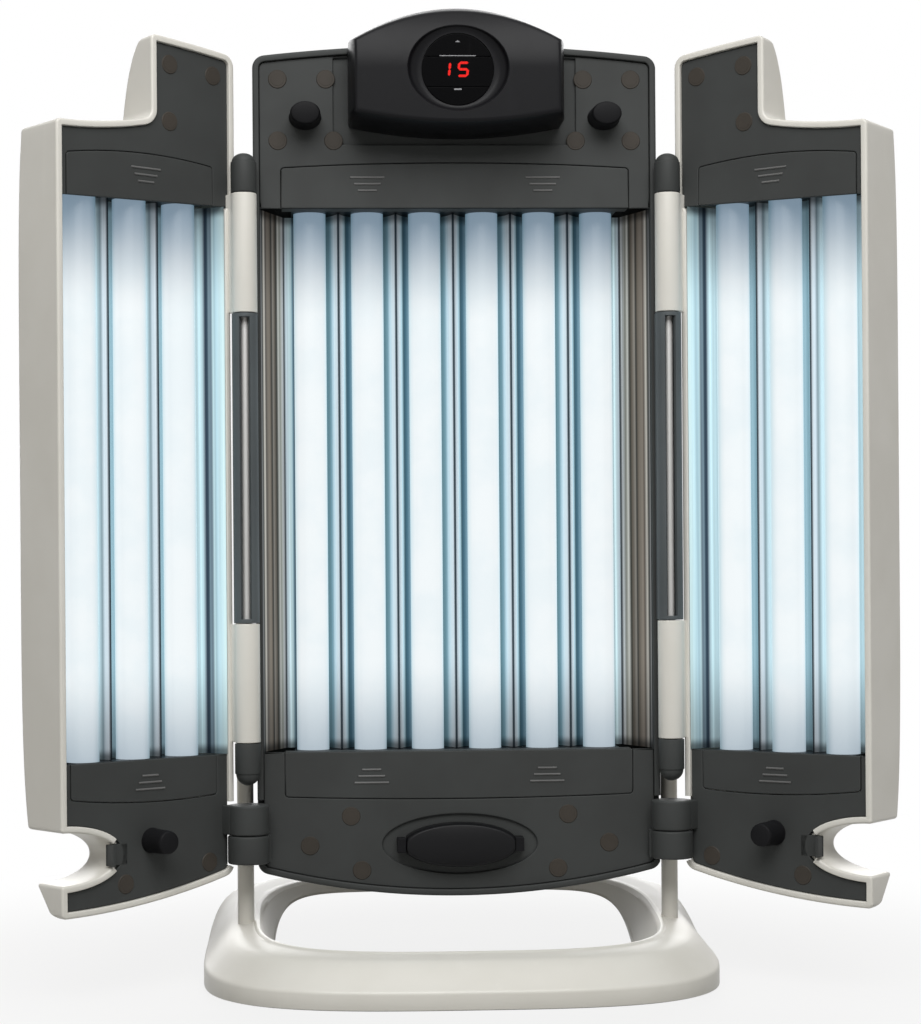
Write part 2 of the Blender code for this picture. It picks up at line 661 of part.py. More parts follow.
def centre_bezel_bottom():
    """Lower plate with the dish of the open button, the lower bearings and the lower knuckles."""
    inset = RIM + GAP
    outline = lower_plate(centre_stations(inset), centre_edge(panel_low, inset, 1), CENTRE_COVER, same)
    plate = slab('bezel', outline, PLATE_FRONT, PLATE_BACK)
    boss = circle(DISH_HALF_X + PLATE, DISH_HALF_Z + PLATE, 2 * FINE_SIDES, 0.0, OPEN_Z)
    fuse(plate, slab('boss', boss, PLATE_FRONT + PLATE / 2, DISH_BACK))
    hole_x, hole_z = OPEN_HALF_X + SEAM, OPEN_HALF_Z + SEAM
    floor_x = hole_x + (DISH_HALF_X - hole_x) * DISH_FLARE
    floor_z = hole_z + (DISH_HALF_Z - hole_z) * DISH_FLARE
    dish_floor = PLATE_FRONT + DISH_DEPTH
    mouth = circle(DISH_HALF_X, DISH_HALF_Z, 2 * FINE_SIDES, 0.0, OPEN_Z)
    floor = circle(floor_x, floor_z, 2 * FINE_SIDES, 0.0, OPEN_Z)
    cut(plate, loft('dish', [[(x, y, z) for x, z in outline] for outline, y in (
        (mouth, -OUTSIDE), (mouth, PLATE_FRONT), (floor, dish_floor))]))
    hole = circle(hole_x, hole_z, 2 * FINE_SIDES, 0.0, OPEN_Z)
    cut(plate, slab('hole', hole, -OUTSIDE, OUTSIDE))
    slot_half = BOLT_HALF_HEIGHT + GAP
    slot_end = OPEN_HALF_X + 2 * SEAM + BOLT_THICKNESS + BOLT_TRAVEL + SEAM
    cut(plate, box('slots', (-slot_end, slot_end), (-OUTSIDE, OUTSIDE),
                   (OPEN_Z - slot_half, OPEN_Z + slot_half)))
    for side in (-1, 1):
        fuse(plate, bearing('bearing', side, LOWER_BEARING_LOW, LOWER_TUBE_LOW, LOWER_DOME,
                            PLATE_FRONT + PLATE / 2))
        reach = HINGE_AXIS_X - CENTRE_PLATE_HALF + RIM
        ring = knuckle('knuckle', KNUCKLE_LOW, KNUCKLE_SPLIT - GAP, reach, PLATE_FRONT + PLATE / 2)
        spigot_top = KNUCKLE_TOP - RIM_LIP
        fuse(ring, turned('spigot', [(SPIGOT_RADIUS, KNUCKLE_LOW + RIM_LIP), (SPIGOT_RADIUS, spigot_top)],
                          LAMP_SIDES))
        for vertex in ring.data.vertices:
            vertex.co.x = side * (HINGE_AXIS_X - vertex.co.x)
            vertex.co.y -= HINGE_AHEAD
        if side > 0:
            ring.data.flip_normals()
        fuse(plate, ring)
    return plate


def wing_bezel_top():
    front, back = HINGE_AHEAD + PLATE_FRONT, HINGE_AHEAD + PLATE_BACK
    inset = RIM + GAP
    outline = upper_plate(wing_stations(inset), wing_edge(panel_high, inset, -1), WING_COVER, from_middle)
    plate = slab('bezel', outline, front, back)
    return cut(plate, slab('step', step_region(RIM + GAP, STEP_DRAFT * PLATE_BACK), -OUTSIDE, OUTSIDE))


def wing_bezel_bottom():
    """Lower wing plate with the upper knuckle and the tab that the latch holds."""
    front, back = HINGE_AHEAD + PLATE_FRONT, HINGE_AHEAD + PLATE_BACK
    inset = RIM + GAP
    outline = lower_plate(wing_stations(inset), wing_edge(panel_low, inset, 1), WING_COVER, from_middle)
    plate = slab('bezel', outline, front, back)
    cut(plate, slab('notch', notch_region(RIM + GAP), -OUTSIDE, OUTSIDE))
    tab_root = WING_FREE_X - NOTCH_DEPTH
    tab = box('tab', (tab_root - 2 * RIM + GAP, tab_root + TAB_LENGTH), (front, back),
              (NOTCH_Z - TAB_HALF_HEIGHT, NOTCH_Z + TAB_HALF_HEIGHT))
    fuse(plate, tab)
    hook = box('hook', (tab_root + TAB_LENGTH - PLATE, tab_root + TAB_LENGTH),
               (HINGE_AHEAD - TAB_PROUD, back), (NOTCH_Z - TAB_HALF_HEIGHT, NOTCH_Z + TAB_HALF_HEIGHT))
    fuse(plate, hook)
    ring = knuckle('knuckle', KNUCKLE_SPLIT + GAP, KNUCKLE_TOP, WING_PLATE[0] + RIM, PLATE_FRONT + PLATE / 2)
    bore_top = KNUCKLE_TOP + OUTSIDE
    bore = [(SPIGOT_RADIUS + GAP, KNUCKLE_LOW), (SPIGOT_RADIUS + GAP, bore_top)]
    cut(ring, turned('bore', bore, LAMP_SIDES))
    return fuse(plate, ring)


# Lamps, reflectors, sockets and covers

def lamp(x, depth):
    half = LAMP_LENGTH / 2
    profile = [(LAMP_CAP_RADIUS, -half), (LAMP_CAP_RADIUS, -half + LAMP_CAP), (LAMP_RADIUS, -half + LAMP_CAP),
               (LAMP_RADIUS, half - LAMP_CAP), (LAMP_CAP_RADIUS, half - LAMP_CAP), (LAMP_CAP_RADIUS, half)]
    return turned('lamp', [(radius, LAMP_Z + z) for radius, z in profile], LAMP_SIDES, x, depth)


def lamp_places(count, middle):
    return [middle + LAMP_PITCH * (i - (count - 1) / 2) for i in range(count)]


def reflector(places, depth, side_low, side_high, front):
    """Bright sheet with a trough behind each tube, a ridge between tubes and leaning sides."""
    trough = depth + LAMP_RADIUS + REFLECTOR_BEHIND
    ridge = depth - RIDGE_AHEAD
    half = LAMP_PITCH / 2
    points = [(side_low, front), (side_low + REFLECTOR_SLOPE, trough)]
    for place in places[:-1]:
        for x in steps(-half, half, RIDGE_STEPS)[:-1]:
            rise = (trough - ridge) * (1 - abs(x) / half) ** RIDGE_POWER
            points.append((place + half + x, trough - rise))
    points += [(places[-1], trough), (side_high - REFLECTOR_SLOPE, trough), (side_high, front)]
    behind = [(x, y + REFLECTOR_SHEET) for x, y in reversed(points)]
    return upright('reflector', points + behind, WINDOW_LOW + GAP, WINDOW_TOP - GAP)


def rail(places, depth, low, sockets_down):
    """Moulded bar that holds the ends of a row of tubes in round sockets."""
    x_range = (places[0] - RAIL_DEPTH / 2, places[-1] + RAIL_DEPTH / 2)
    bar = box('rail', x_range, (depth - RAIL_DEPTH / 2, depth + RAIL_DEPTH / 2), (low, low + RAIL_HEIGHT))
    lamp_end = LAMP_Z + (LAMP_LENGTH / 2 + GAP if sockets_down else -LAMP_LENGTH / 2 - GAP)
    mouth = low - OUTSIDE if sockets_down else low + RAIL_HEIGHT + OUTSIDE
    ends = sorted((lamp_end, mouth))
    for place in places:
        socket = [(LAMP_CAP_RADIUS + GAP, ends[0]), (LAMP_CAP_RADIUS + GAP, ends[1])]
        cut(bar, turned('socket', socket, LAMP_SIDES, place, depth))
    return bar


def cover(cover_range, middle_of, upper, face, lamp_depth):
    """Loose lamp cover: a front plate with a shelf that hides the tube ends."""
    x0, x1 = cover_range
    front = face + PLATE_FRONT - COVER_PROUD
    if upper:
        arch = [(x, cover_high(middle_of(x))) for x in steps(x1, x0, ARC_STEPS)]
        outline = [(x0, WINDOW_TOP), (x1, WINDOW_TOP)] + arch
        shelf_z = (WINDOW_TOP, WINDOW_TOP + COVER_SHELF)
    else:
        arch = [(x, cover_low(middle_of(x))) for x in steps(x0, x1, ARC_STEPS)]
        outline = arch + [(x1, WINDOW_LOW), (x0, WINDOW_LOW)]
        shelf_z = (WINDOW_LOW - COVER_SHELF, WINDOW_LOW)
    plate = slab('cover', outline, front, face + PLATE_BACK)
    shelf_back = lamp_depth - RAIL_DEPTH / 2 - GAP
    return fuse(plate, box('shelf', (x0, x1), (face + PLATE_FRONT, shelf_back), shelf_z))


# Control head, latch and bumpers

def head_ring(y, inset):
    """Outline of the control head: a bowed top and a bowed underside."""
    half = HEAD_HALF_WIDTH - inset
    top = [(x, y, HEAD_TOP_Z - inset - (HEAD_TOP_Z - HEAD_SHOULDER_Z) * (x / half) ** 2)
           for x in steps(half, -half, 2 * ARC_STEPS)]
    low = [(x, y, HEAD_LOW_Z + inset + HEAD_LOW_RISE * (x / half) ** 2)
           for x in steps(-half, half, 2 * ARC_STEPS)]
    return top + low


def control_housing():
    front = -HEAD_PROUD
    rings = [head_ring(POCKET_FLOOR - GAP, 0.0)]
    rings += [head_ring(front * share, inset) for share, inset in HEAD_ROUNDING]
    housing = loft('housing', rings)
    dial_floor = front + DIAL_DEPTH
    cavity_front = dial_floor + DIAL_THICKNESS + GAP
    cavity_middle = front * HEAD_ROUNDING[0][0]
    cut(housing, loft('cavity', [head_ring(cavity_front, HEAD_WALL * 2), head_ring(cavity_middle, HEAD_WALL),
                                 head_ring(OUTSIDE, HEAD_WALL)]))
    mouth = circle(DIAL_MOUTH_X, DIAL_MOUTH_Z, 2 * FINE_SIDES, 0.0, DIAL_MIDDLE_Z)
    floor = circle(DIAL_RADIUS + SEAM, DIAL_RADIUS + SEAM, 2 * FINE_SIDES, 0.0, DIAL_MIDDLE_Z)
    cut(housing, loft('dial_cone', [[(x, y, z) for x, z in outline] for outline, y in (
        (mouth, front - OUTSIDE), (mouth, front), (floor, dial_floor), (floor, OUTSIDE))]))
    return housing


def dial_segment(low, high):
    """Outline of the part of the dial's disc between two heights above its middle."""
    right = [(DIAL_RADIUS * math.cos(t), DIAL_RADIUS * math.sin(t))
             for t in steps(math.asin(low / DIAL_RADIUS), math.asin(high / DIAL_RADIUS), ARC_STEPS)]
    left = [(-x, z) for x, z in reversed(right)]
    points = right + left
    unique = []
    for x, z in points:
        if not unique or abs(x - unique[-1][0]) + abs(z - unique[-1][1]) > GAP / 10:
            unique.append((x, z))
    return [(x, DIAL_MIDDLE_Z + z) for x, z in unique]


def open_button():
    """Oval push button with a domed face."""
    back = DISH_BACK + OPEN_TRAVEL
    rings = []
    for y, share in [(back, 1.0)] + [(-OPEN_PROUD * up, share) for up, share in OPEN_ROUNDING]:
        outline = circle(OPEN_HALF_X * share, OPEN_HALF_Z * share, 2 * FINE_SIDES, 0.0, OPEN_Z)
        rings.append([(x, y, z) for x, z in outline])
    button = loft('button', rings)
    keep = OPEN_HALF_X - BOLT_THICKNESS
    for side in (-1, 1):
        flat = sorted((side * keep, side * (OPEN_HALF_X + OUTSIDE)))
        cut(button, box('bolt_way', flat, (-OUTSIDE, OUTSIDE),
                        (OPEN_Z - BOLT_HALF_HEIGHT - GAP, OPEN_Z + BOLT_HALF_HEIGHT + GAP)))
    return button


def latch_bolt(side):
    near = OPEN_HALF_X - BOLT_THICKNESS + SEAM
    x_range = sorted((side * near, side * (near + 2 * BOLT_THICKNESS)))
    y_range = (-BOLT_PROUD, -BOLT_PROUD + BOLT_LENGTH)
    return box('bolt', x_range, y_range, (OPEN_Z - BOLT_HALF_HEIGHT, OPEN_Z + BOLT_HALF_HEIGHT))


def bumper(x, z, radius_x, radius_z, face):
    """Rubber stop with a rounded tip."""
    base = face + PLATE_FRONT - GAP
    rings = []
    for along, share in BUMPER_ROUNDING:
        outline = circle(radius_x * share, radius_z * share, FINE_SIDES, x, z)
        rings.append([(px, base - BUMPER_LENGTH * along, pz) for px, pz in outline])
    return loft('bumper', rings)


# Stand

def lift(y):
    share = min(max((y - LIFT_START) / (LIFT_END - LIFT_START), 0.0), 1.0)
    return REAR_LIFT * share * share * (3 - 2 * share)


def base_level(y, share):
    """Height of the ring at a share of its section, which the arch thins towards the rear."""
    low = PAD_THICKNESS + GAP + lift(y)
    backward = (y + BASE_HALF_DEPTH) / (2 * BASE_HALF_DEPTH)
    high = BASE_HEIGHT + REAR_RISE * max(backward, 0.0) ** REAR_RISE_POWER
    return low + share * (high - low)


def squared_oval(half_x, half_y, squareness, sides):
    power = 2 / squareness
    points = []
    for i in range(sides):
        turn = 2 * math.pi * i / sides
        c, s = math.cos(turn), math.sin(turn)
        points.append((half_x * math.copysign(abs(c) ** power, c), half_y * math.copysign(abs(s) ** power, s)))
    return points


def base_outline(inset, sides):
    return squared_oval(BASE_HALF_WIDTH - inset, BASE_HALF_DEPTH - inset, BASE_SQUARENESS, sides)


def base_ring():
    """Closed ring of one hollow-backed section, arched clear of the floor at the rear."""
    outside = [(0.0, 0.0), (0.0, BASE_SKIRT / BASE_HEIGHT)]
    outside += [(BASE_BAR * across, up) for across, up in BASE_PROFILE]
    opening = squared_oval(BASE_HALF_WIDTH - BASE_OPENING_X, BASE_HALF_DEPTH - BASE_OPENING_Y,
                           BASE_OPENING_SQUARENESS, BASE_SIDES)
    section = [(base_outline(inset, BASE_SIDES), up) for inset, up in outside]
    section += [(opening, up) for up in BASE_LIP]
    section.append((base_outline(BASE_FOOT, BASE_SIDES), 0.0))
    ring = ring_loft('ring', [[(x, y, base_level(y, up)) for x, y in outline] for outline, up in section])
    for side in (-1, 1):
        socket = [(POST_RADIUS + GAP, POST_FOOT - GAP), (POST_RADIUS + GAP, POST_FOOT + OUTSIDE)]
        cut(ring, turned('socket', socket, FINE_SIDES, side * POST_AXIS_X, FACE_Y + POST_BEHIND))
    return ring


def base_pad():
    """Rubber strip under the front and the sides of the ring."""
    margin = (BASE_FOOT - PAD_WIDTH) / 2
    outer = [p for p in base_outline(margin, 2 * BASE_SIDES) if p[1] < LIFT_START]
    inner = [p for p in base_outline(margin + PAD_WIDTH, 2 * BASE_SIDES) if p[1] < LIFT_START]

    def along(point):
        return math.atan2(point[0], -point[1])

    outer.sort(key=along)
    inner.sort(key=along, reverse=True)
    return upright('pad', outer + inner, 0.0, PAD_THICKNESS)


def saddle(side):
    """Block that joins a post to the side wall of the centre."""
    wall = PANEL_HALF_WIDTH + GAP
    radius = POST_RADIUS + GAP
    half = SADDLE_DEPTH / 2
    outline = [(wall, POST_BEHIND - half), (POST_AXIS_X - GAP, POST_BEHIND - half)]
    for turn in steps(-math.pi / 2, -3 * math.pi / 2, ARC_STEPS):
        outline.append((POST_AXIS_X - GAP + radius * math.cos(turn), POST_BEHIND + radius * math.sin(turn)))
    outline += [(POST_AXIS_X - GAP, POST_BEHIND + half), (wall, POST_BEHIND + half)]
    return upright('saddle', [(side * x, y) for x, y in outline], SADDLE_LOW, SADDLE_LOW + SADDLE_HEIGHT)


def channel():
    """Open half tube that holds the hinge rod between the wing's two hinge tubes."""
    outer = [(COLUMN_RADIUS * math.sin(t), -COLUMN_RADIUS * math.cos(t))
             for t in steps(CHANNEL_MOUTH, 2 * math.pi - CHANNEL_MOUTH, FINE_SIDES)]
    inside = COLUMN_RADIUS - CHANNEL_WALL
    inner = [(inside * math.sin(t), -inside * math.cos(t))
             for t in steps(2 * math.pi - CHANNEL_MOUTH, CHANNEL_MOUTH, FINE_SIDES)]
    trough = upright('channel', outer + inner, CHANNEL_LOW + GAP, TUBE_LOW - GAP)
    foot = box('foot', (0.0, WING_NEAR + RIM / 2), (inside + GAP, HINGE_AHEAD - GAP),
               (CHANNEL_LOW + GAP, TUBE_LOW - GAP))
    fuse(trough, foot)
    for low in (CHANNEL_LOW, TUBE_LOW - CHANNEL_WALL):
        disc = [(COLUMN_RADIUS - GAP, low + GAP), (COLUMN_RADIUS - GAP, low + CHANNEL_WALL - GAP)]
        end = turned('end', disc, FINE_SIDES)
        cut(end, turned('bore', [(ROD_RADIUS + GAP, low - OUTSIDE), (ROD_RADIUS + GAP, low + OUTSIDE)],
                        LAMP_SIDES))
        fuse(trough, end)
    return trough


def build_stand():
    stand = frame_at('stand', 0.0, 0.0)
    finish(base_ring(), 'base_ring', CREAM, stand)
    finish(base_pad(), 'base_pad', RUBBER, stand)
    for side, word in ((-1, 'left'), (1, 'right')):
        post = turned('post', [(POST_RADIUS, POST_FOOT), (POST_RADIUS, POST_TOP)], FINE_SIDES,
                      side * POST_AXIS_X, FACE_Y + POST_BEHIND)
        finish(post, 'post_' + word, CREAM, stand)


def build_centre():
    centre = frame_at('centre', 0.0, FACE_Y)
    finish(centre_shell(), 'centre_shell', CHARCOAL, centre)
    finish(centre_bezel_top(), 'centre_bezel_top', CHARCOAL, centre)
    finish(centre_bezel_bottom(), 'centre_bezel_bottom', CHARCOAL, centre)
    places = lamp_places(CENTRE_LAMPS, 0.0)
    inner = PANEL_HALF_WIDTH - RIM - GAP
    sheet = reflector(places, CENTRE_LAMP_DEPTH, -inner, inner, REFLECTOR_FRONT)
    finish(sheet, 'centre_reflector', MIRROR, centre)
    for k, place in enumerate(places):
        finish(lamp(place, CENTRE_LAMP_DEPTH), f'centre_lamp_{k + 1}', TUBE_GLASS, centre)
    for upper, word in ((True, 'top'), (False, 'bottom')):
        low = WINDOW_TOP if upper else WINDOW_LOW - RAIL_HEIGHT
        bar = rail(places, CENTRE_LAMP_DEPTH, low, upper)
        finish(bar, f'centre_lampholder_{word}', BLACK, centre)
        lid = cover(CENTRE_COVER, same, upper, 0.0, CENTRE_LAMP_DEPTH)
        finish(lid, f'centre_cover_{word}', CHARCOAL, centre)
    finish(control_housing(), 'control_housing', BLACK, centre)
    dial_floor = -HEAD_PROUD + DIAL_DEPTH
    window = slab('window', dial_segment(-START_KEY_EDGE + SEAM / 2, SET_KEY_EDGE - SEAM / 2),
                  dial_floor, dial_floor + DIAL_THICKNESS)
    finish(window, 'display_window', GLOSS_BLACK, centre)
    upper_key = dial_segment(SET_KEY_EDGE + SEAM / 2, DIAL_RADIUS)
    finish(slab('key', upper_key, dial_floor, dial_floor + KEY_THICKNESS), 'set_key', GLOSS_BLACK, centre)
    lower_key = dial_segment(-DIAL_RADIUS, -START_KEY_EDGE - SEAM / 2)
    finish(slab('key', lower_key, dial_floor, dial_floor + KEY_THICKNESS), 'start_key', GLOSS_BLACK, centre)
    board_front = dial_floor + DIAL_THICKNESS + 2 * GAP
    board = box('board', (-BOARD_HALF_WIDTH, BOARD_HALF_WIDTH), (board_front, board_front + BOARD_THICKNESS),
                (DIAL_MIDDLE_Z - BOARD_HALF_HEIGHT, DIAL_MIDDLE_Z + BOARD_HALF_HEIGHT))
    finish(board, 'timer_board', BOARD_GREEN, centre)
    finish(open_button(), 'open_button', BLACK, centre)
    ballast = box('ballast', (-BALLAST_WIDTH / 2, BALLAST_WIDTH / 2),
                  (POCKET_FLOOR + PLATE + GAP, POCKET_FLOOR + PLATE + GAP + BALLAST_DEPTH),
                  (POCKET_LOW_Z, POCKET_LOW_Z + BALLAST_HEIGHT))
    finish(ballast, 'ballast', STEEL, centre)
    back = centre_depth(INLET_X, INLET_Z)
    inlet = box('inlet', (INLET_X - INLET_HALF_WIDTH, INLET_X + INLET_HALF_WIDTH),
                (back + INLET_PROUD - INLET_LENGTH, back + INLET_PROUD),
                (INLET_Z - INLET_HALF_HEIGHT, INLET_Z + INLET_HALF_HEIGHT))
    finish(inlet, 'mains_inlet', BLACK, centre)
    for side, word in ((-1, 'left'), (1, 'right')):
        finish(latch_bolt(side), 'latch_bolt_' + word, BLACK, centre)
        pin = bumper(side * PIN_X, PIN_MIDDLE_Z, PIN_HALF_X, PIN_HALF_Z, 0.0)
        finish(pin, 'centre_bumper_' + word, RUBBER, centre)
        finish(saddle(side), 'post_saddle_' + word, CHARCOAL, centre)


def build_hinge(side, word):
    axis = frame_at('hinge_' + word, side * HINGE_AXIS_X, FACE_Y - HINGE_AHEAD)
    rod = turned('rod', [(ROD_RADIUS, LOWER_BEARING_LOW + GAP), (ROD_RADIUS, BEARING_TOP - GAP)], LAMP_SIDES)
    finish(rod, 'hinge_rod_' + word, STEEL, axis)
    finish(channel(), 'hinge_channel_' + word, CHARCOAL, axis, mirrored=side > 0)


def build_wing(side, word):
    turn = -side * WING_REST
    wing = frame_at('wing_' + word, side * HINGE_AXIS_X, FACE_Y - HINGE_AHEAD, turn)
    mirrored = side < 0
    depth = HINGE_AHEAD + WING_LAMP_DEPTH
    finish(wing_shell(), f'wing_shell_{word}', CREAM, wing, mirrored)
    finish(wing_bezel_top(), f'wing_bezel_top_{word}', CHARCOAL, wing, mirrored)
    finish(wing_bezel_bottom(), f'wing_bezel_bottom_{word}', CHARCOAL, wing, mirrored)
    places = lamp_places(WING_LAMPS, WING_LAMP_MIDDLE)
    sheet = reflector(places, depth, *WING_PLATE, HINGE_AHEAD + REFLECTOR_FRONT)
    finish(sheet, f'wing_reflector_{word}', MIRROR, wing, mirrored)
    for k, place in enumerate(places):
        finish(lamp(place, depth), f'wing_lamp_{word}_{k + 1}', TUBE_GLASS, wing, mirrored)
    for upper, level in ((True, 'top'), (False, 'bottom')):
        low = WINDOW_TOP if upper else WINDOW_LOW - RAIL_HEIGHT
        bar = rail(places, depth, low, upper)
        finish(bar, f'wing_lampholder_{level}_{word}', BLACK, wing, mirrored)
        lid = cover(WING_COVER, from_middle, upper, HINGE_AHEAD, depth)
        finish(lid, f'wing_cover_{level}_{word}', CHARCOAL, wing, mirrored)
    stud = bumper(STUD_X, STUD_Z, STUD_RADIUS, STUD_RADIUS, HINGE_AHEAD)
    finish(stud, f'wing_bumper_{word}', RUBBER, wing, mirrored)


for old in list(bpy.data.objects):
    bpy.data.objects.remove(old, do_unlink=True)
build_stand()
build_centre()
for hinge_side, hinge_word in ((-1, 'left'), (1, 'right')):
    build_hinge(hinge_side, hinge_word)
    build_wing(hinge_side, hinge_word)
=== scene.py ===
"""Looks of a facial tanner: fine surfaces, finishes, a pale floor, soft light and the camera.

Metres, +Z up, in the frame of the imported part. The front faces -Y. Panels are drawn in their own frame, with
x across, y backwards from the hinge axis or the face, and z as the height above the floor.
"""
import math

import bmesh
import bpy
from mathutils import Matrix, Vector

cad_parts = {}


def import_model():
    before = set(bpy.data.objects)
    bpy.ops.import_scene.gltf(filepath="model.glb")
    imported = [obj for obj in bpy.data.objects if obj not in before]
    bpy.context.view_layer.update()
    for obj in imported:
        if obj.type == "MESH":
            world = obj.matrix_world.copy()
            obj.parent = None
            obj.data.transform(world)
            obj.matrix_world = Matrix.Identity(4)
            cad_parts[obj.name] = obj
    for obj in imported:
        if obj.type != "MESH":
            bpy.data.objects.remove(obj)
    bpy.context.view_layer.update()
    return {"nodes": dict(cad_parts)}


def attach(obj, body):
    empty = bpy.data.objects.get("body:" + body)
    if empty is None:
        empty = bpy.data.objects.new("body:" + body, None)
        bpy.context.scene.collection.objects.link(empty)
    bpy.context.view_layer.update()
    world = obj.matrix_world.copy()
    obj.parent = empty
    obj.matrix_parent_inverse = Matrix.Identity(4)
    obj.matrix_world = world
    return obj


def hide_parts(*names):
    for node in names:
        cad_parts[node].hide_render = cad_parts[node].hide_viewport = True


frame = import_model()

# Clearances and fine edges
GAP = 0.0003
SEAM = 0.0005
WELD = 0.000001
FINE_EDGE = 0.0007         # rounding of plates and covers
SUPPORT = 0.0003           # a second line beside an edge keeps flat faces flat in the shading
SMOOTH = math.radians(32.0)

# Panels
PANEL_HALF_WIDTH = 0.158
PANEL_TOP = 0.7308
PANEL_TOP_DROP = 0.0094
PANEL_BOTTOM = 0.0655
PANEL_BOTTOM_RISE = 0.0205
PANEL_CORNER = 0.010
RIM = 0.005
RIM_INNER_EDGE = 0.0008
RIM_OUTER_EDGE = 0.0018
BACK_EDGE = 0.005          # rounding between the side walls and the back
BACK_WALL = 0.0025
PLATE_FRONT = 0.0025
PLATE = 0.0025
EDGE_DEPTH = 0.008
CENTRE_DEPTH = 0.076
CENTRE_SIDE_FALL = 0.25
WING_DEPTH = 0.057
WING_SIDE_FALL = 0.55
WING_SIDE_POWER = 0.40
PILLOW_SQUARENESS = 6.0
PILLOW_POWER = 0.9
WING_SQUARENESS = 5.5
WING_POWER = 0.5
GRID = 0.009               # spacing of the points over the backs

# Wings and hinges
HINGE_AXIS_X = 0.165
HINGE_AHEAD = 0.010
FACE_Y = -0.036
WING_NEAR = 0.0055
WING_NEAR_TOP = 0.0008     # above the window the wing reaches nearer to the hinge axis
NEAR_CORNER = 0.001
WING_FREE_X = 0.164
WING_REST = math.radians(38.5)
STEP_WALL_X = 0.0787
STEP_LEVEL = 0.6542
STEP_RISE = 0.0095
STEP_CORNER = 0.008
STEP_DRAFT = 0.05
FREE_CORNER = 0.004
NOTCH_Z = 0.1093
NOTCH_DEPTH = 0.050
NOTCH_HALF_HEIGHT = 0.0195
NOTCH_LIP = 0.0025
NOTCH_SWEEP = math.radians(84.0)
TAB_LENGTH = 0.008
TAB_HALF_HEIGHT = 0.008
TAB_PROUD = 0.004
COLUMN_RADIUS = 0.010
ROD_RADIUS = 0.0034
DOME_TOP = 0.644
BEARING_TOP = 0.637
BEARING_LOW = 0.613
TUBE_LOW = 0.520
CHANNEL_LOW = 0.280
LOWER_TUBE_LOW = 0.1875
LOWER_BEARING_LOW = 0.1635
LOWER_DOME = 0.1546
DOME_SHARE = 0.92
CHANNEL_WALL = 0.003
CHANNEL_MOUTH = math.radians(25.0)
KNUCKLE_RADIUS = 0.016
KNUCKLE_EDGE = 0.0016
KNUCKLE_TOP = 0.1396
KNUCKLE_SPLIT = 0.1164
KNUCKLE_LOW = 0.0943

# Lamps, reflectors and covers
LAMP_RADIUS = 0.01275
LAMP_CAP_RADIUS = 0.0124
LAMP_LENGTH = 0.4374
LAMP_CAP = 0.004
LAMP_PITCH = 0.0456
CENTRE_LAMPS = 6
WING_LAMPS = 3
LAMP_Z = 0.391
CENTRE_LAMP_DEPTH = 0.036
WING_LAMP_DEPTH = 0.022
WING_LAMP_MIDDLE = 0.0855
WINDOW_TOP = 0.60325
WINDOW_LOW = 0.17875
REFLECTOR_BEHIND = 0.0025
REFLECTOR_SHEET = 0.0012
REFLECTOR_SLOPE = 0.018
REFLECTOR_FRONT = 0.0075
REFLECTOR_AT_HINGE = 0.0015  # the wing's sheet comes forward to the rim on the hinge side
SLOPE_SHARE = 0.70         # part of the attribute 'strip' that lies on the leaning side
RIDGE_AHEAD = 0.006
RIDGE_POWER = 3
RAIL_DEPTH = 0.029
COVER_SIDE_CENTRE = 0.022
COVER_SIDE_HINGE = 0.0155
COVER_SIDE_FREE = 0.010
COVER_TOP = 0.6385
COVER_TOP_DROP = 0.0055
COVER_LOW = 0.1415
COVER_LOW_RISE = 0.0035
# A wing cover's bent edges: the crest, its place along the wing, and the bend
WING_COVER_TOP = 0.6362
WING_COVER_TOP_X = 0.080
WING_COVER_TOP_BEND = 1.13
WING_COVER_LOW = 0.1468
WING_COVER_LOW_X = 0.070
WING_COVER_LOW_BEND = 0.81
WING_WINDOW_DROP = 0.0045  # the window's upper edge is lower at the wing's free side
COVER_SHELF = 0.0025
COVER_PROUD = 0.0004
COVER_CORNER = 0.0025

# Control head and dial
HEAD_HALF_WIDTH = 0.0835
HEAD_TOP = 0.754
HEAD_SHOULDER = 0.7285
HEAD_LOW = 0.6576
HEAD_LOW_RISE = 0.0090
HEAD_PROUD = 0.046
HEAD_CORNER = 0.0035
HEAD_FRONT_EDGE = 0.0028
HEAD_TAPER = 0.0040        # the sides draw in by this much in front of the taper's start
HEAD_TAPER_START = 0.0207
HEAD_LEAN = 0.0140         # the upper front leans back
HEAD_BOW = 0.0015
POCKET_HALF_WIDTH = 0.095
POCKET_LOW = 0.6530
POCKET_FLOOR = 0.0105
POCKET_CORNER = 0.006
POCKET_CURVE_SHARE = 0.8   # part of the pocket's upper edge that follows the panel
DIAL_Z = 0.7037
DIAL_RADIUS = 0.0275
DIAL_DEPTH = 0.009
DIAL_MOUTH_X = 0.0385
DIAL_MOUTH_Z = 0.0330
SET_KEY_EDGE = 0.0098
START_KEY_EDGE = 0.0135
KEY_THICKNESS = 0.0012
DIAL_THICKNESS = 0.0023
DIGIT_HEIGHT = 0.0100
DIGIT_WIDTH = 0.0070
DIGIT_PITCH = 0.0140
DIGIT_SHIFT = -0.0028
DIGIT_STROKE = 0.0019
DIGIT_SLANT = 0.10
DIGIT_RAISE = 0.00012

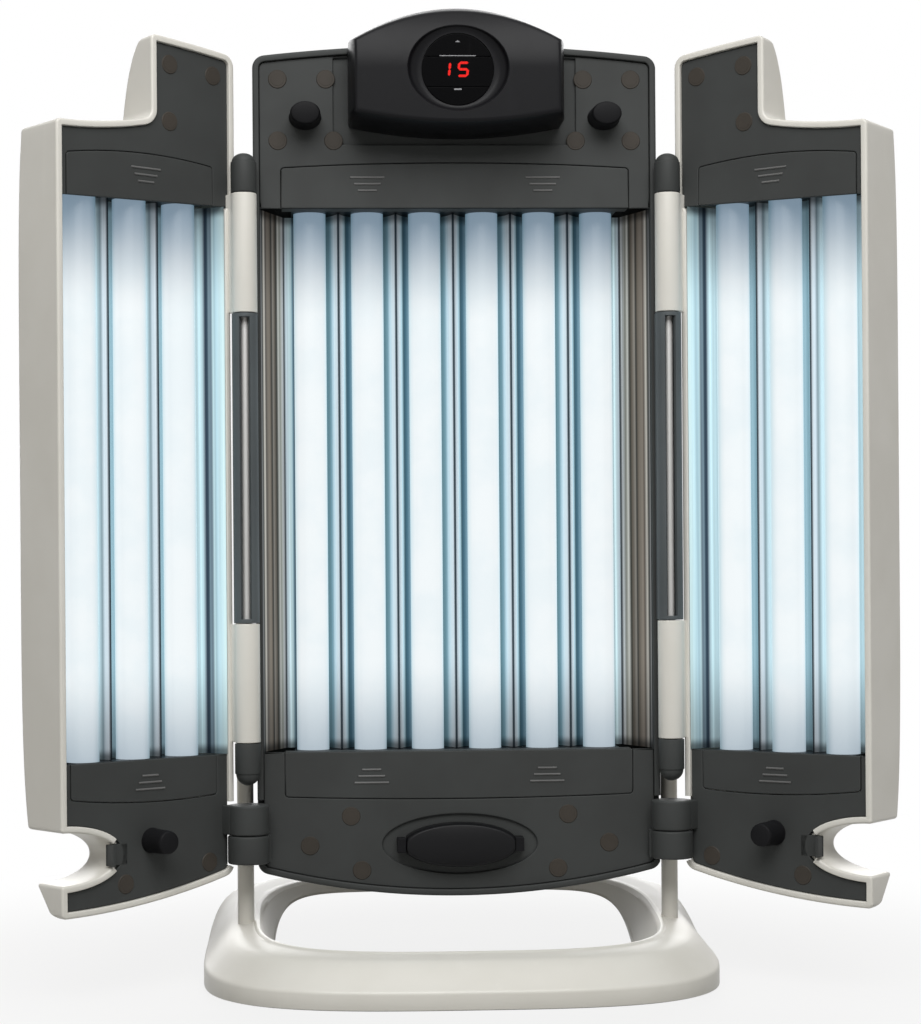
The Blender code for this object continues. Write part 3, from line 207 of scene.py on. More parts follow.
# Open button, bumpers and small parts
OPEN_Z = 0.106
OPEN_HALF_X = 0.0455
OPEN_HALF_Z = 0.0170
OPEN_PROUD = 0.013
OPEN_BACK = 0.0175
OPEN_WALL = 0.45           # shares of the button's height: straight wall, then shoulder
OPEN_SHOULDER = 0.40
OPEN_SHOULDER_IN = 0.10    # share of the half width that the shoulder draws in
OPEN_MIDDLE = 0.02
DISH_HALF_X = 0.0605
DISH_HALF_Z = 0.0230
DISH_DEPTH = 0.008
DISH_FLARE = 0.75
BOLT_THICKNESS = 0.0035
BOLT_HALF_HEIGHT = 0.0055
BOLT_PROUD = 0.007
BOLT_LENGTH = 0.025
BUMPER_LENGTH = 0.0235
BUMPER_SHANK = ((1.06, 0.0), (1.04, 0.05), (1.0, 0.10), (0.98, 0.80))  # shares of the radius and the length
BUMPER_SHOULDER = 0.17
BUMPER_SHOULDER_IN = 0.14
BUMPER_TIP = (0.55, 0.25, 0.03)
PIN_X = 0.117
PIN_Z = 0.674
PIN_HALF_X = 0.012
PIN_HALF_Z = 0.00925
STUD_X = 0.082
STUD_Z = 0.1175
STUD_RADIUS = 0.0092
CAP_RADIUS = 0.0073
CAP_HEIGHT = 0.0006
CAP_BEVEL = 0.93           # shares of the cap's radius: bevelled top, raised middle, top of the middle
CAP_MIDDLE = 0.76
CAP_MIDDLE_TOP = 0.70
CAP_MIDDLE_HEIGHT = 1.25
CENTRE_CAPS = ((0.1384, 0.7040), (0.1008, 0.7040), (0.1384, 0.6560), (0.0949, 0.6560), (0.0851, 0.1284),
               (0.1173, 0.1057), (0.0769, 0.0861))
WING_CAPS = ((0.0604, 0.7068), (0.0197, 0.7033), (0.0608, 0.6634), (0.0282, 0.0966), (0.1060, 0.0866))
GRIP_LONG = 0.0268
GRIP_SHORT = 0.0148
GRIP_PITCH = 0.0051
GRIP_WIDTH = 0.0017
GRIP_FROM_TOP = 0.0112
GRIP_FROM_LOW = 0.0130
WING_GRIP_SHIFT = 0.0020
GRIP_ROWS = 3
CENTRE_GRIPS = (-0.0688, 0.0688)
WING_GRIPS = (0.0835,)
INLET_X = 0.100
INLET_Z = 0.120
INLET_HALF_WIDTH = 0.014
INLET_HALF_HEIGHT = 0.010
INLET_PROUD = 0.004
INLET_LENGTH = 0.026
INLET_WALL = 0.002
INLET_LOW_CORNER = 0.002
INLET_HIGH_CORNER = 0.004
INLET_WELL = 0.012
CONTACT_PLACES = ((-0.007, -0.0015), (0.0, 0.0025), (0.007, -0.0015))
CONTACT_HALF_WIDTH = 0.001
CONTACT_HALF_HEIGHT = 0.0022
CONTACT_DEPTHS = (0.003, 0.013)
CONTACT_EDGE = 0.0006
VENT_STARTS = (0.215, 0.485)
VENT_RIBS = 10
VENT_PITCH = 0.0085
VENT_LENGTH = 0.085
VENT_WIDTH = 0.0042

# Stand
BASE_HALF_WIDTH = 0.201
BASE_HALF_DEPTH = 0.170
BASE_SQUARENESS = 3.2
BASE_HEIGHT = 0.035
BASE_BAR = 0.046
BASE_OPENING_X = 0.054
BASE_OPENING_Y = 0.048
BASE_OPENING_SQUARENESS = 5.0
BASE_FOOT = 0.012
BASE_SIDES = 200
REAR_LIFT = 0.046
REAR_RISE = 0.035
REAR_RISE_POWER = 1.6
LIFT_START = 0.030
LIFT_END = 0.125
PAD_THICKNESS = 0.0015
PAD_WIDTH = 0.008
POST_AXIS_X = 0.168
POST_BEHIND = 0.024
POST_RADIUS = 0.0065
POST_TOP = 0.420
POST_FOOT = 0.024
SADDLE_LOW = 0.200
SADDLE_HIGH = 0.260
SADDLE_DEPTH = 0.024
# Section of the base from its foot to the bead on its crest: shares of the bar's width and of its height
BASE_SECTION = ((0.036, 0.0), (0.033, -0.030), (0.004, -0.034), (0.0, -0.02), (0.0, 0.30), (0.006, 0.345),
                (0.022, 0.378), (0.05, 0.41), (0.14, 0.53), (0.24, 0.66), (0.34, 0.785), (0.43, 0.88),
                (0.49, 0.922), (0.55, 0.945), (0.66, 0.968), (0.78, 0.985), (0.855, 0.992), (0.875, 1.012),
                (0.91, 1.020), (0.945, 1.008), (0.97, 0.965))
# Inner wall from the crest to the lip and under it: shares of the way to the opening and of the height
BASE_WALL = ((0.0, 0.92), (0.05, 0.87), (0.45, 0.54), (0.86, 0.235), (0.90, 0.212), (0.97, 0.205),
             (1.0, 0.19), (1.0, 0.08), (0.98, 0.06))

# Fineness
EDGE_POINTS = 40
END_POINTS = 14
LEAN_ROUNDS = 3
CORNER_POINTS = 8
ROUND_SIDES = 56
ARC_STEPS = 5
FINE_STEPS = 3             # round a fine edge
DOME_STEPS = 10
POCKET_STEPS = 20
RIDGE_STEPS = 48
FRONT_STEPS = 14           # over the head's front, from its shoulder to the funnel
FUNNEL_STEPS = 12
DISC_STEPS = 36
BUTTON_STEPS = 8           # round the open button's shoulder, then over its face
FACE_STEPS = 12
TIP_STEPS = 6
CAP_SIDES = 40
CAP_MIDDLE_SIDES = 32
RIB_SIDES = 12

PANEL_MIDDLE = (PANEL_TOP + PANEL_BOTTOM) / 2
PANEL_HALF_HEIGHT = (PANEL_TOP - PANEL_BOTTOM) / 2
PLATE_BACK = PLATE_FRONT + PLATE
CENTRE_FRAME = Matrix.Translation((0.0, FACE_Y, 0.0))
HINGE_PLACE = Matrix.Translation((HINGE_AXIS_X, FACE_Y - HINGE_AHEAD, 0.0))
RIGHT_WING = HINGE_PLACE @ Matrix.Rotation(-WING_REST, 4, 'Z')
WING_FRAMES = {'right': RIGHT_WING, 'left': Matrix.Diagonal((-1.0, 1.0, 1.0, 1.0)) @ RIGHT_WING}
SIDES = {'left': -1, 'right': 1}
LEVELS = ((True, 'top'), (False, 'bottom'))
CENTRE_COVER = (COVER_SIDE_CENTRE - PANEL_HALF_WIDTH, PANEL_HALF_WIDTH - COVER_SIDE_CENTRE)
WING_COVER = (WING_NEAR + COVER_SIDE_HINGE, WING_FREE_X - COVER_SIDE_FREE)
DIAL_FLOOR = DIAL_DEPTH - HEAD_PROUD
OPEN_FLAT = OPEN_HALF_X - BOLT_THICKNESS
TAB_ROOT = WING_FREE_X - NOTCH_DEPTH


# Outlines: lists of (x, z), running anticlockwise seen from the front

def spread(start, end, count):
    return [start + (end - start) * i / count for i in range(count + 1)]


def bowed(level, rise, reach, middle=0.0):
    """Edge whose height changes by a rise at a given reach from its middle."""
    return lambda x: level + rise * ((x - middle) / reach) ** 2


def level_window(x):
    return WINDOW_TOP


def wing_window(x):
    return WINDOW_TOP - WING_WINDOW_DROP * max(x - WING_NEAR, 0.0) / (WING_FREE_X - WING_NEAR)


panel_high = bowed(PANEL_TOP, -PANEL_TOP_DROP, PANEL_HALF_WIDTH)
panel_low = bowed(PANEL_BOTTOM, PANEL_BOTTOM_RISE, PANEL_HALF_WIDTH)
step_level = bowed(STEP_LEVEL, STEP_RISE, HEAD_HALF_WIDTH)
head_high = bowed(HEAD_TOP, HEAD_SHOULDER - HEAD_TOP, HEAD_HALF_WIDTH)
head_low = bowed(HEAD_LOW, HEAD_LOW_RISE, HEAD_HALF_WIDTH)
# Upper edge and lower edge of the lamp covers, and upper edge of the window
CENTRE_EDGES = (bowed(COVER_TOP, -COVER_TOP_DROP, PANEL_HALF_WIDTH),
                bowed(COVER_LOW, COVER_LOW_RISE, PANEL_HALF_WIDTH), level_window)
WING_EDGES = (bowed(WING_COVER_TOP, -WING_COVER_TOP_BEND, 1.0, WING_COVER_TOP_X),
              bowed(WING_COVER_LOW, WING_COVER_LOW_BEND, 1.0, WING_COVER_LOW_X), wing_window)


def from_middle(wing_x):
    """Distance from the middle line when the wing is folded shut."""
    return HINGE_AXIS_X - wing_x


def fillet(corners, count=CORNER_POINTS):
    """Closed outline from (x, z, radius) corners. A radius of 0 keeps the point."""
    points = []
    for i, (x, z, radius) in enumerate(corners):
        if not radius:
            points.append((x, z))
            continue
        corner = Vector((x, z))
        before = (Vector(corners[i - 1][:2]) - corner).normalized()
        after = (Vector(corners[(i + 1) % len(corners)][:2]) - corner).normalized()
        half = before.angle(after) / 2
        middle = corner + (before + after).normalized() * radius / math.sin(half)
        start = corner + before * radius / math.tan(half) - middle
        end = corner + after * radius / math.tan(half) - middle
        first = math.atan2(start.y, start.x)
        turn = math.remainder(math.atan2(end.y, end.x) - first, math.tau)
        for share in spread(0.0, 1.0, count):
            angle = first + turn * share
            points.append((middle.x + radius * math.cos(angle), middle.y + radius * math.sin(angle)))
    return points


def ellipse(half_x, half_z, count, x=0.0, z=0.0):
    turns = [math.tau * i / count for i in range(count)]
    return [(x + half_x * math.cos(t), z + half_z * math.sin(t)) for t in turns]


def between(first, second, share):
    """Outline part of the way from one outline to another."""
    return [(a + (c - a) * share, b + (d - b) * share) for (a, b), (c, d) in zip(first, second)]


def inset(outline, distance):
    """Move an outline inwards by one distance, or one for each point. Folds become mitred corners."""
    count = len(outline)
    away = distance if isinstance(distance, list) else [distance] * count
    points = [Vector(p) for p in outline]
    along = [(points[(i + 1) % count] - points[i - 1]).normalized() for i in range(count)]
    moved = [p + Vector((-t.y, t.x)) * d for p, t, d in zip(points, along, away)]
    folded = [(moved[(i + 1) % count] - moved[i - 1]).dot(along[i]) < 0 for i in range(count)]
    for i in range(count):
        if not folded[i] or folded[i - 1]:
            continue
        first, last = i - 1, i
        while folded[(last + 1) % count]:
            last += 1
        last += 1
        corner = crossing(moved[first], along[first], moved[last % count], along[last % count])
        while (moved[first] - corner).dot(along[first]) > 0:
            first -= 1
        while (corner - moved[last % count]).dot(along[last % count]) > 0:
            last += 1
        for k in range(first + 1, last):
            moved[k % count] = corner.copy()
    return [tuple(p) for p in moved]


def crossing(a, a_along, b, b_along):
    """Where two lines meet, or the middle between their points where they run side by side."""
    cross = a_along.x * b_along.y - a_along.y * b_along.x
    if abs(cross) < WELD:
        return (a + b) / 2
    gap = b - a
    return a + a_along * (gap.x * b_along.y - gap.y * b_along.x) / cross


def side_levels(low, high, knuckles=True):
    """Heights of the points up a panel's side, with a break above the knuckles."""
    levels = spread(low, WINDOW_LOW, END_POINTS) + spread(WINDOW_LOW, WINDOW_TOP, EDGE_POINTS)[1:]
    levels += spread(WINDOW_TOP, high, END_POINTS)[1:]
    if knuckles:
        levels += [KNUCKLE_TOP + PLATE_FRONT - WELD, KNUCKLE_TOP + PLATE_FRONT + WELD]
    return sorted(levels)


def four_sided(half, low, high, corner, side):
    """Outline with bowed lower and upper edges, upright sides and rounded corners."""
    run = half - 2 * corner
    corners = [(-half, low(half), corner)] + [(x, low(x), 0.0) for x in spread(-run, run, EDGE_POINTS)]
    corners += [(half, low(half), corner)] + [(half, z, 0.0) for z in side] + [(half, high(half), corner)]
    corners += [(x, high(x), 0.0) for x in spread(run, -run, EDGE_POINTS)] + [(-half, high(half), corner)]
    return fillet(corners + [(-half, z, 0.0) for z in reversed(side)])


def centre_outline():
    half, corner = PANEL_HALF_WIDTH, PANEL_CORNER
    side = side_levels(panel_low(half) + 2 * corner, panel_high(half) - 2 * corner)
    return four_sided(half, panel_low, panel_high, corner, side)


def wing_outline():
    """Wing from its hinge side round the bottom, the notch, the free side, the step and the top."""
    def edge(level, x0, x1):
        return [(x, level(from_middle(x)), 0.0) for x in spread(x0, x1, EDGE_POINTS)]

    near, near_top, far = WING_NEAR, WING_NEAR_TOP, WING_FREE_X
    notch = []
    for turn in spread(math.pi + NOTCH_SWEEP, math.pi - NOTCH_SWEEP, 2 * EDGE_POINTS):
        z = NOTCH_Z + NOTCH_HALF_HEIGHT * math.sin(turn)
        notch.append((far + NOTCH_DEPTH * math.cos(turn), z, 0.0))
    free_low = NOTCH_Z + NOTCH_HALF_HEIGHT + 2 * NOTCH_LIP
    free_high = step_level(from_middle(far)) - 2 * FREE_CORNER
    free_side = [(far, z, 0.0) for z in side_levels(free_low, free_high, False)]
    jog = WINDOW_TOP - RIM
    hinge_low = panel_low(from_middle(near)) + 2 * PANEL_CORNER
    hinge_side = [z for z in side_levels(hinge_low, WINDOW_TOP + RIM) if z < jog - 2 * NEAR_CORNER]
    hinge_top = panel_high(from_middle(near_top))
    step_end = STEP_WALL_X + 2 * STEP_CORNER
    step_low = step_level(from_middle(STEP_WALL_X))
    step_high = panel_high(from_middle(STEP_WALL_X))
    corners = [(near, panel_low(from_middle(near)), PANEL_CORNER)]
    corners += edge(panel_low, near + 2 * PANEL_CORNER, far - 2 * FREE_CORNER)
    corners += [(far, panel_low(from_middle(far)), FREE_CORNER)]
    corners += [(far, NOTCH_Z - NOTCH_HALF_HEIGHT, NOTCH_LIP)] + notch
    corners += [(far, NOTCH_Z + NOTCH_HALF_HEIGHT, NOTCH_LIP)] + free_side
    corners += [(far, step_level(from_middle(far)), FREE_CORNER)]
    corners += edge(step_level, far - 2 * FREE_CORNER, step_end)
    corners += [(STEP_WALL_X, step_low, STEP_CORNER)]
    wall = spread(step_low + 2 * STEP_CORNER, step_high - 2 * FREE_CORNER, END_POINTS)
    corners += [(STEP_WALL_X, z, 0.0) for z in wall]
    corners += [(STEP_WALL_X, step_high, FREE_CORNER)]
    corners += edge(panel_high, STEP_WALL_X - 2 * FREE_CORNER, near_top + 2 * PANEL_CORNER)
    corners += [(near_top, hinge_top, PANEL_CORNER)]
    upper = spread(hinge_top - 2 * PANEL_CORNER, jog + 2 * NEAR_CORNER, EDGE_POINTS)
    corners += [(near_top, z, 0.0) for z in upper]
    corners += [(near_top, jog, NEAR_CORNER), (near, jog, NEAR_CORNER)]
    return fillet(corners + [(near, z, 0.0) for z in reversed(hinge_side)])


def pillow(full, z, squareness, power):
    upward = min(abs(z - PANEL_MIDDLE) / PANEL_HALF_HEIGHT, 1.0)
    return EDGE_DEPTH + (full - EDGE_DEPTH) * (1 - upward ** squareness) ** power


def centre_depth(x, z):
    full = CENTRE_DEPTH * (1 - CENTRE_SIDE_FALL * min(abs(x) / PANEL_HALF_WIDTH, 1.0) ** 2)
    return pillow(full, z, PILLOW_SQUARENESS, PILLOW_POWER)


def wing_depth(x, z):
    inward = min(max((WING_FREE_X - x) / (WING_FREE_X - WING_NEAR), 0.0), 1.0)
    full = WING_DEPTH * (1 - WING_SIDE_FALL * inward ** 2) ** WING_SIDE_POWER
    return pillow(full, z, WING_SQUARENESS, WING_POWER)


# Mesh tools, which add to a bmesh

def ring_points(bm, points):
    """Vertices of a ring, where points that fall together share one."""
    made = []
    for point in points:
        if made and (made[-1].co - Vector(point)).length < WELD:
            made.append(made[-1])
        else:
            made.append(bm.verts.new(point))
    return made


def join_rings(bm, near, far):
    for i in range(len(near)):
        j = (i + 1) % len(near)
        corners = list(dict.fromkeys((near[i], near[j], far[j], far[i])))
        if len(corners) > 2 and not bm.faces.get(corners):
            bm.faces.new(corners)


def skin(bm, rings, ends=(False, False)):
    """Skin closed rings that have as many points each."""
    rows = [ring_points(bm, ring) for ring in rings]
    for near, far in zip(rows, rows[1:]):
        join_rings(bm, near, far)
    for row, closed in zip((rows[0], rows[-1]), ends):
        if closed:
            bm.faces.new(list(dict.fromkeys(row)))
    return rows


def loop_edges(bm, row):
    points = list(dict.fromkeys(row))
    pairs = zip(points, points[1:] + points[:1])
    return [bm.edges.get(pair) or bm.edges.new(pair) for pair in pairs]


def fill(bm, *rows):
    """Fill one ring, or the space between an outer ring and the rings of its holes."""
    edges = [edge for row in rows for edge in loop_edges(bm, row)]
    made = bmesh.ops.triangle_fill(bm, edges=edges, use_beauty=True)
    return [part for part in made['geom'] if isinstance(part, bmesh.types.BMFace)]


def quilt(bm, row, level):
    """Fill a ring with a grid of points that follow a surface."""
    faces = fill(bm, row)
    fixed = set(row)
    for axis, normal in ((0, (1, 0, 0)), (2, (0, 0, 1))):
        places = [vert.co[axis] for vert in row]
        count = max(int((max(places) - min(places)) / GRID), 2)
        for place in spread(min(places), max(places), count)[1:-1]:
            around = list({part for face in faces for part in (*face.verts, *face.edges, face)})
            spot = [0.0, 0.0, 0.0]
            spot[axis] = place
            cut = bmesh.ops.bisect_plane(bm, geom=around, dist=WELD, plane_co=spot, plane_no=normal)
            faces = [part for part in cut['geom'] if isinstance(part, bmesh.types.BMFace)]
    for vert in {vert for face in faces for vert in face.verts} - fixed:
        vert.co.y = level(vert.co.x, vert.co.z)


def flat_ring(outline, y):
    return [(x, y, z) for x, z in outline]


def rounding(radius, count=ARC_STEPS):
    """Steps of a quarter round: inset and depth, from the wall to the face."""
    turns = spread(0.0, math.pi / 2, count)
    return [(radius * (1 - math.cos(t)), radius * (1 - math.sin(t))) for t in turns]


def plate(bm, outline, front, back, edge=FINE_EDGE, wells=()):
    """Plate with rounded front edges. A well is a list of rings from the front face to a closed floor."""
    rows = [(0.0, back), (0.0, front + edge + SUPPORT)]
    rows += [(across, front + up) for across, up in rounding(edge, FINE_STEPS)] + [(edge + SUPPORT, front)]
    wall = skin(bm, [flat_ring(inset(outline, across), y) for across, y in rows])
    mouths = [skin(bm, well, (False, True))[0] for well in wells]
    fill(bm, wall[-1], *mouths)
    fill(bm, wall[0])


def well(outline, front, floor, edge, floor_edge):
    """Rings of a sunk pocket: a rounded mouth, a wall and a rounded floor."""
    rows = [(-edge - SUPPORT, front)]
    rows += [(-across, front + up) for across, up in reversed(rounding(edge, FINE_STEPS))]
    rows += [(across, floor - up) for across, up in rounding(floor_edge, FINE_STEPS)]
    return [flat_ring(inset(outline, across), y) for across, y in rows]


def rounded_box(bm, x_range, y_range, z_range, edge=FINE_EDGE):
    (x0, x1), (z0, z1) = sorted(x_range), z_range
    outline = fillet([(x0, z0, edge), (x1, z0, edge), (x1, z1, edge), (x0, z1, edge)], FINE_STEPS)
    plate(bm, outline, *y_range, edge / 2)


def turned(bm, profile, x=0.0, y=0.0, sides=ROUND_SIDES):
    """Turn a profile of (radius, z) about an upright axis and close its ends."""
    circle = ellipse(1.0, 1.0, sides)
    skin(bm, [[(x + r * c, y + r * s, z) for c, s in circle] for r, z in profile], (True, True))


def rounded_rod(radius, low, high, edge):
    """Profile of a rod with rounded ends."""
    up = [(radius - across, high - rise) for across, rise in rounding(edge)]
    down = [(radius - across, low + rise) for across, rise in reversed(rounding(edge))]
    return [(max(r, radius / ROUND_SIDES), z) for r, z in down + up]


def second_finish(bm, first):
    """Give the piece's second finish to all but its first faces."""
    bm.faces.ensure_lookup_table()
    for face in bm.faces[first:]:
        face.material_index = 1


def finish(bm, name, body, materials, place=CENTRE_FRAME, nodes=()):
    """Make the piece, put its place in its mesh and tie it to its body."""
    bmesh.ops.recalc_face_normals(bm, faces=bm.faces)
    mesh = bpy.data.meshes.new(name)
    bm.to_mesh(mesh)
    bm.free()
    return settle(mesh, name, body, materials, place, nodes)


def settle(mesh, name, body, materials, place, nodes=()):
    mesh.transform(place)
    if place.determinant() < 0:
        mesh.flip_normals()
    mesh.shade_smooth()
    mesh.set_sharp_from_angle(angle=SMOOTH)
    for material in materials:
        mesh.materials.append(material)
    piece = bpy.data.objects.new(name, mesh)
    bpy.context.collection.objects.link(piece)
    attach(piece, body)
    if nodes:
        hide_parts(*nodes)
    return piece


# Finishes

# Spans of a noise over which its mask rises
NOISE_SPAN = (0.30, 0.70)
NARROW_SPAN = (0.35, 0.65)
SCUFF_SPAN = (0.60, 0.78)
SCUFF_TURN = (0.3, 0.5, 0.7)
SCUFF_STRETCH = (1.0, 1.0, 0.12)
DRAWN_STRETCH = (1.0, 1.0, 0.004)
STREAK_SHARE = 0.18

# Wear of plastic and drawing lines of metal
WORN_GAIN = 1.10
WORN_LIFT = 0.004
DRIFT_DULLS = 0.06
SCUFF_DULLS = 0.25
GRAIN_STRENGTH = 0.5
STREAK_DULLS = 0.10
LINE_STRENGTH = 0.25
LINE_DEPTH = 0.00006

# Painted shade: a reflector's colours and glow dim towards the ends of the window: shares of the window's half
# height, and what is left
DIM_SPAN = (0.62, 0.97)
DIM_LEFT = 0.62
END_SPAN = (0.955, 0.99)
END_LEFT = 0.30
MIRROR_ROUGH = (0.30, 0.40)

# Colours of a lit tube, and where its ends begin and stop as shares of its length. Pairs are edge, then front
GLOW_CLOUDS = ((0.74, 0.80, 0.83), (0.79, 0.83, 0.85))
GLOW_EDGE = (0.50, 0.64, 0.69)
GLOW_TOP = ((0.10, 0.17, 0.22), (0.19, 0.26, 0.33))
GLOW_LOW = ((0.20, 0.28, 0.33), (0.38, 0.45, 0.51))
GLASS_COLOURS = ((0.10, 0.11, 0.11), (0.07, 0.08, 0.09))
FACING_SPAN = (0.05, 0.75)
TOP_SPAN = (0.28, 0.478)
LOW_SPAN = (0.32, 0.50)

# Glowing digits: share of the glow left in its dimmer spots, and the colours under the glow
DIGIT_UNEVEN = 0.8
DIGIT_UNLIT = ((0.004, 0.0, 0.0), (0.006, 0.0, 0.0))


def connect(tree, value, socket):
    """Link another node's output to a socket, or set a plain value on it."""
    if isinstance(value, bpy.types.NodeSocket):
        tree.links.new(value, socket)
    else:
        socket.default_value = value


def add_node(tree, kind, **inputs):
    node = tree.nodes.new(kind)
    for label, value in inputs.items():
        connect(tree, value, node.inputs[label.replace('_', ' ')])
    return node


def shader_group(name, inputs, outputs):
    """Empty node group with named sockets. Inputs are (name, default) values."""
    group = bpy.data.node_groups.new(name, 'ShaderNodeTree')
    for label, value in inputs:
        socket = group.interface.new_socket(label, in_out='INPUT', socket_type='NodeSocketFloat')
        socket.default_value = value
    for label in outputs:
        group.interface.new_socket(label, in_out='OUTPUT', socket_type='NodeSocketFloat')
    return group, group.nodes.new('NodeGroupInput'), group.nodes.new('NodeGroupOutput')


def noise(tree, vector, scale, detail, rough=0.55):
    node = add_node(tree, 'ShaderNodeTexNoise', Vector=vector, Scale=scale, Detail=detail, Roughness=rough)
    return node.outputs['Fac']


def calc(tree, kind, *values):
    node = tree.nodes.new('ShaderNodeMath')
    node.operation = kind
    for socket, value in zip(node.inputs, values):
        connect(tree, value, socket)
    return node.outputs[0]


def ramp(tree, value, span, start=0.0, end=1.0):
    """Spread a value from one span over another, clamped and smooth."""
    node = add_node(tree, 'ShaderNodeMapRange', Value=value, From_Min=span[0], From_Max=span[1],
                    To_Min=start, To_Max=end)
    node.interpolation_type = 'SMOOTHSTEP'
    return node.outputs['Result']


def blend_colours(tree, share, a, b):
    node = tree.nodes.new('ShaderNodeMix')
    node.data_type = 'RGBA'
    for place, value in ((0, share), (6, a), (7, b)):
        connect(tree, (*value, 1.0) if isinstance(value, tuple) else value, node.inputs[place])
    return node.outputs[2]


def object_place(tree):
    return tree.nodes.new('ShaderNodeTexCoord').outputs['Object']


def part_of(tree, vector, axis):
    return add_node(tree, 'ShaderNodeSeparateXYZ', Vector=vector).outputs[axis]


def stretched_place(tree, scale, turn=(0.0, 0.0, 0.0)):
    mapping = add_node(tree, 'ShaderNodeMapping', Vector=object_place(tree), Rotation=turn, Scale=scale)
    return mapping.outputs[0]


def moulded_grain_group():
    """Fine sparkle of a moulded surface, broad colour drift and faint scuffs."""
    group, start, end = shader_group('moulded grain', (('Grain', 1400.0), ('Drift', 14.0), ('Scuffs', 60.0)),
                                     ('Height', 'Drift', 'Scuff'))
    place = object_place(group)
    grain = noise(group, place, start.outputs['Grain'], detail=2.0, rough=0.7)
    drift = noise(group, place, start.outputs['Drift'], detail=3.0)
    scuff = noise(group, stretched_place(group, SCUFF_STRETCH, SCUFF_TURN), start.outputs['Scuffs'],
                  detail=5.0)
    group.links.new(grain, end.inputs['Height'])
    group.links.new(ramp(group, drift, NOISE_SPAN), end.inputs['Drift'])
    group.links.new(ramp(group, scuff, SCUFF_SPAN), end.inputs['Scuff'])
    return group


def drawn_lines_group():
    """Fine upright lines of drawn or rolled metal."""
    group, start, end = shader_group('drawn lines', (('Lines', 900.0),), ('Lines', 'Streak'))
    place = stretched_place(group, DRAWN_STRETCH)
    group.links.new(noise(group, place, start.outputs['Lines'], detail=2.0), end.inputs['Lines'])
    broad = calc(group, 'MULTIPLY', start.outputs['Lines'], STREAK_SHARE)
    group.links.new(noise(group, place, broad, detail=3.0), end.inputs['Streak'])
    return group


def new_material(name, **sockets):
    """Material with a Principled shader whose plain values are set on its own sockets."""
    material = bpy.data.materials.new(name)
    material.use_nodes = True
    shader = material.node_tree.nodes['Principled BSDF']
    for label, value in sockets.items():
        shader.inputs[label.replace('_', ' ')].default_value = value
    return material, material.node_tree, shader


def place_group(tree, group, **values):
    node = tree.nodes.new('ShaderNodeGroup')
    node.node_tree = group
    for label, value in values.items():
        node.inputs[label].default_value = value
    return node


def add_bump(tree, shader, height, strength, distance):
    bump = add_node(tree, 'ShaderNodeBump', Height=height, Strength=strength, Distance=distance)
    tree.links.new(bump.outputs[0], shader.inputs['Normal'])


def plastic(name, light, dark, rough, grain, depth, scuff, specular=0.5):
    """Moulded plastic: two close colours that drift, fine grain, and scuffs that dull the shine."""
    material, tree, shader = new_material(name, Specular_IOR_Level=specular)
    group = place_group(tree, MOULDED_GRAIN, Grain=grain)
    base = blend_colours(tree, group.outputs['Drift'], light, dark)
    worn = tuple(min(c * WORN_GAIN + WORN_LIFT, 1.0) for c in light)
    share = calc(tree, 'MULTIPLY', group.outputs['Scuff'], scuff)
    tree.links.new(blend_colours(tree, share, base, worn), shader.inputs['Base Color'])
    dull = calc(tree, 'MULTIPLY_ADD', group.outputs['Drift'], DRIFT_DULLS, rough)
    dull = calc(tree, 'ADD', dull, calc(tree, 'MULTIPLY', share, SCUFF_DULLS))
    tree.links.new(dull, shader.inputs['Roughness'])
    add_bump(tree, shader, group.outputs['Height'], GRAIN_STRENGTH, depth)
    return material


def metal(name, light, dark, rough, lines, metallic=1.0):
    """Metal with fine upright drawing lines."""
    material, tree, shader = new_material(name, Metallic=metallic)
    group = place_group(tree, DRAWN_LINES, Lines=lines)
    share = ramp(tree, group.outputs['Lines'], NARROW_SPAN)
    tree.links.new(blend_colours(tree, share, light, dark), shader.inputs['Base Color'])
    dull = ramp(tree, group.outputs['Streak'], NOISE_SPAN, rough, rough + STREAK_DULLS)
    tree.links.new(dull, shader.inputs['Roughness'])
    add_bump(tree, shader, group.outputs['Lines'], LINE_STRENGTH, LINE_DEPTH)
    return material


def painted_reflection_finish(name, attribute, stops, lines, grain, glow=0.36):
    """Bright sheet with a painted glow and painted reflections of the tubes, in colours that follow an
    attribute and dim at the tubes' ends as painted shade.

    Stops are (attribute value from -1 to 1, colour); their bright bands and dark lines are painted
    reflections.
    """
    # The emission is a painted glow, as the sheet is no lamp; the same colours go to base and emission.
    material, tree, shader = new_material(name, Metallic=0.30, Emission_Strength=glow, Specular_IOR_Level=0.2)
    group = place_group(tree, DRAWN_LINES, Lines=lines)
    across = tree.nodes.new('ShaderNodeAttribute')
    across.attribute_name = attribute
    band = tree.nodes.new('ShaderNodeValToRGB')
    tree.links.new(calc(tree, 'MULTIPLY_ADD', across.outputs['Fac'], 0.5, 0.5), band.inputs[0])
    marks = band.color_ramp.elements
    marks.remove(marks[1])
    for value, colour in stops:
        marks.new((value + 1) / 2).color = (*colour, 1.0)
    marks.remove(marks[0])
    # Painted shade: darker towards the upper and lower ends of the window.
    along = calc(tree, 'ABSOLUTE', calc(tree, 'SUBTRACT', part_of(tree, object_place(tree), 'Z'), LAMP_Z))
    share = calc(tree, 'DIVIDE', along, (WINDOW_TOP - WINDOW_LOW) / 2)
    dim = calc(tree, 'MULTIPLY', ramp(tree, share, DIM_SPAN, 1.0, DIM_LEFT),
               ramp(tree, share, END_SPAN, 1.0, END_LEFT))
    fine = ramp(tree, group.outputs['Lines'], NOISE_SPAN, 1.0 - grain, 1.0)
    shade = tree.nodes.new('ShaderNodeVectorMath')
    shade.operation = 'SCALE'
    tree.links.new(band.outputs['Color'], shade.inputs[0])
    tree.links.new(calc(tree, 'MULTIPLY', dim, fine), shade.inputs['Scale'])
    for label in ('Base Color', 'Emission Color'):
        tree.links.new(shade.outputs[0], shader.inputs[label])
    tree.links.new(ramp(tree, group.outputs['Streak'], NOISE_SPAN, *MIRROR_ROUGH), shader.inputs['Roughness'])
    return material


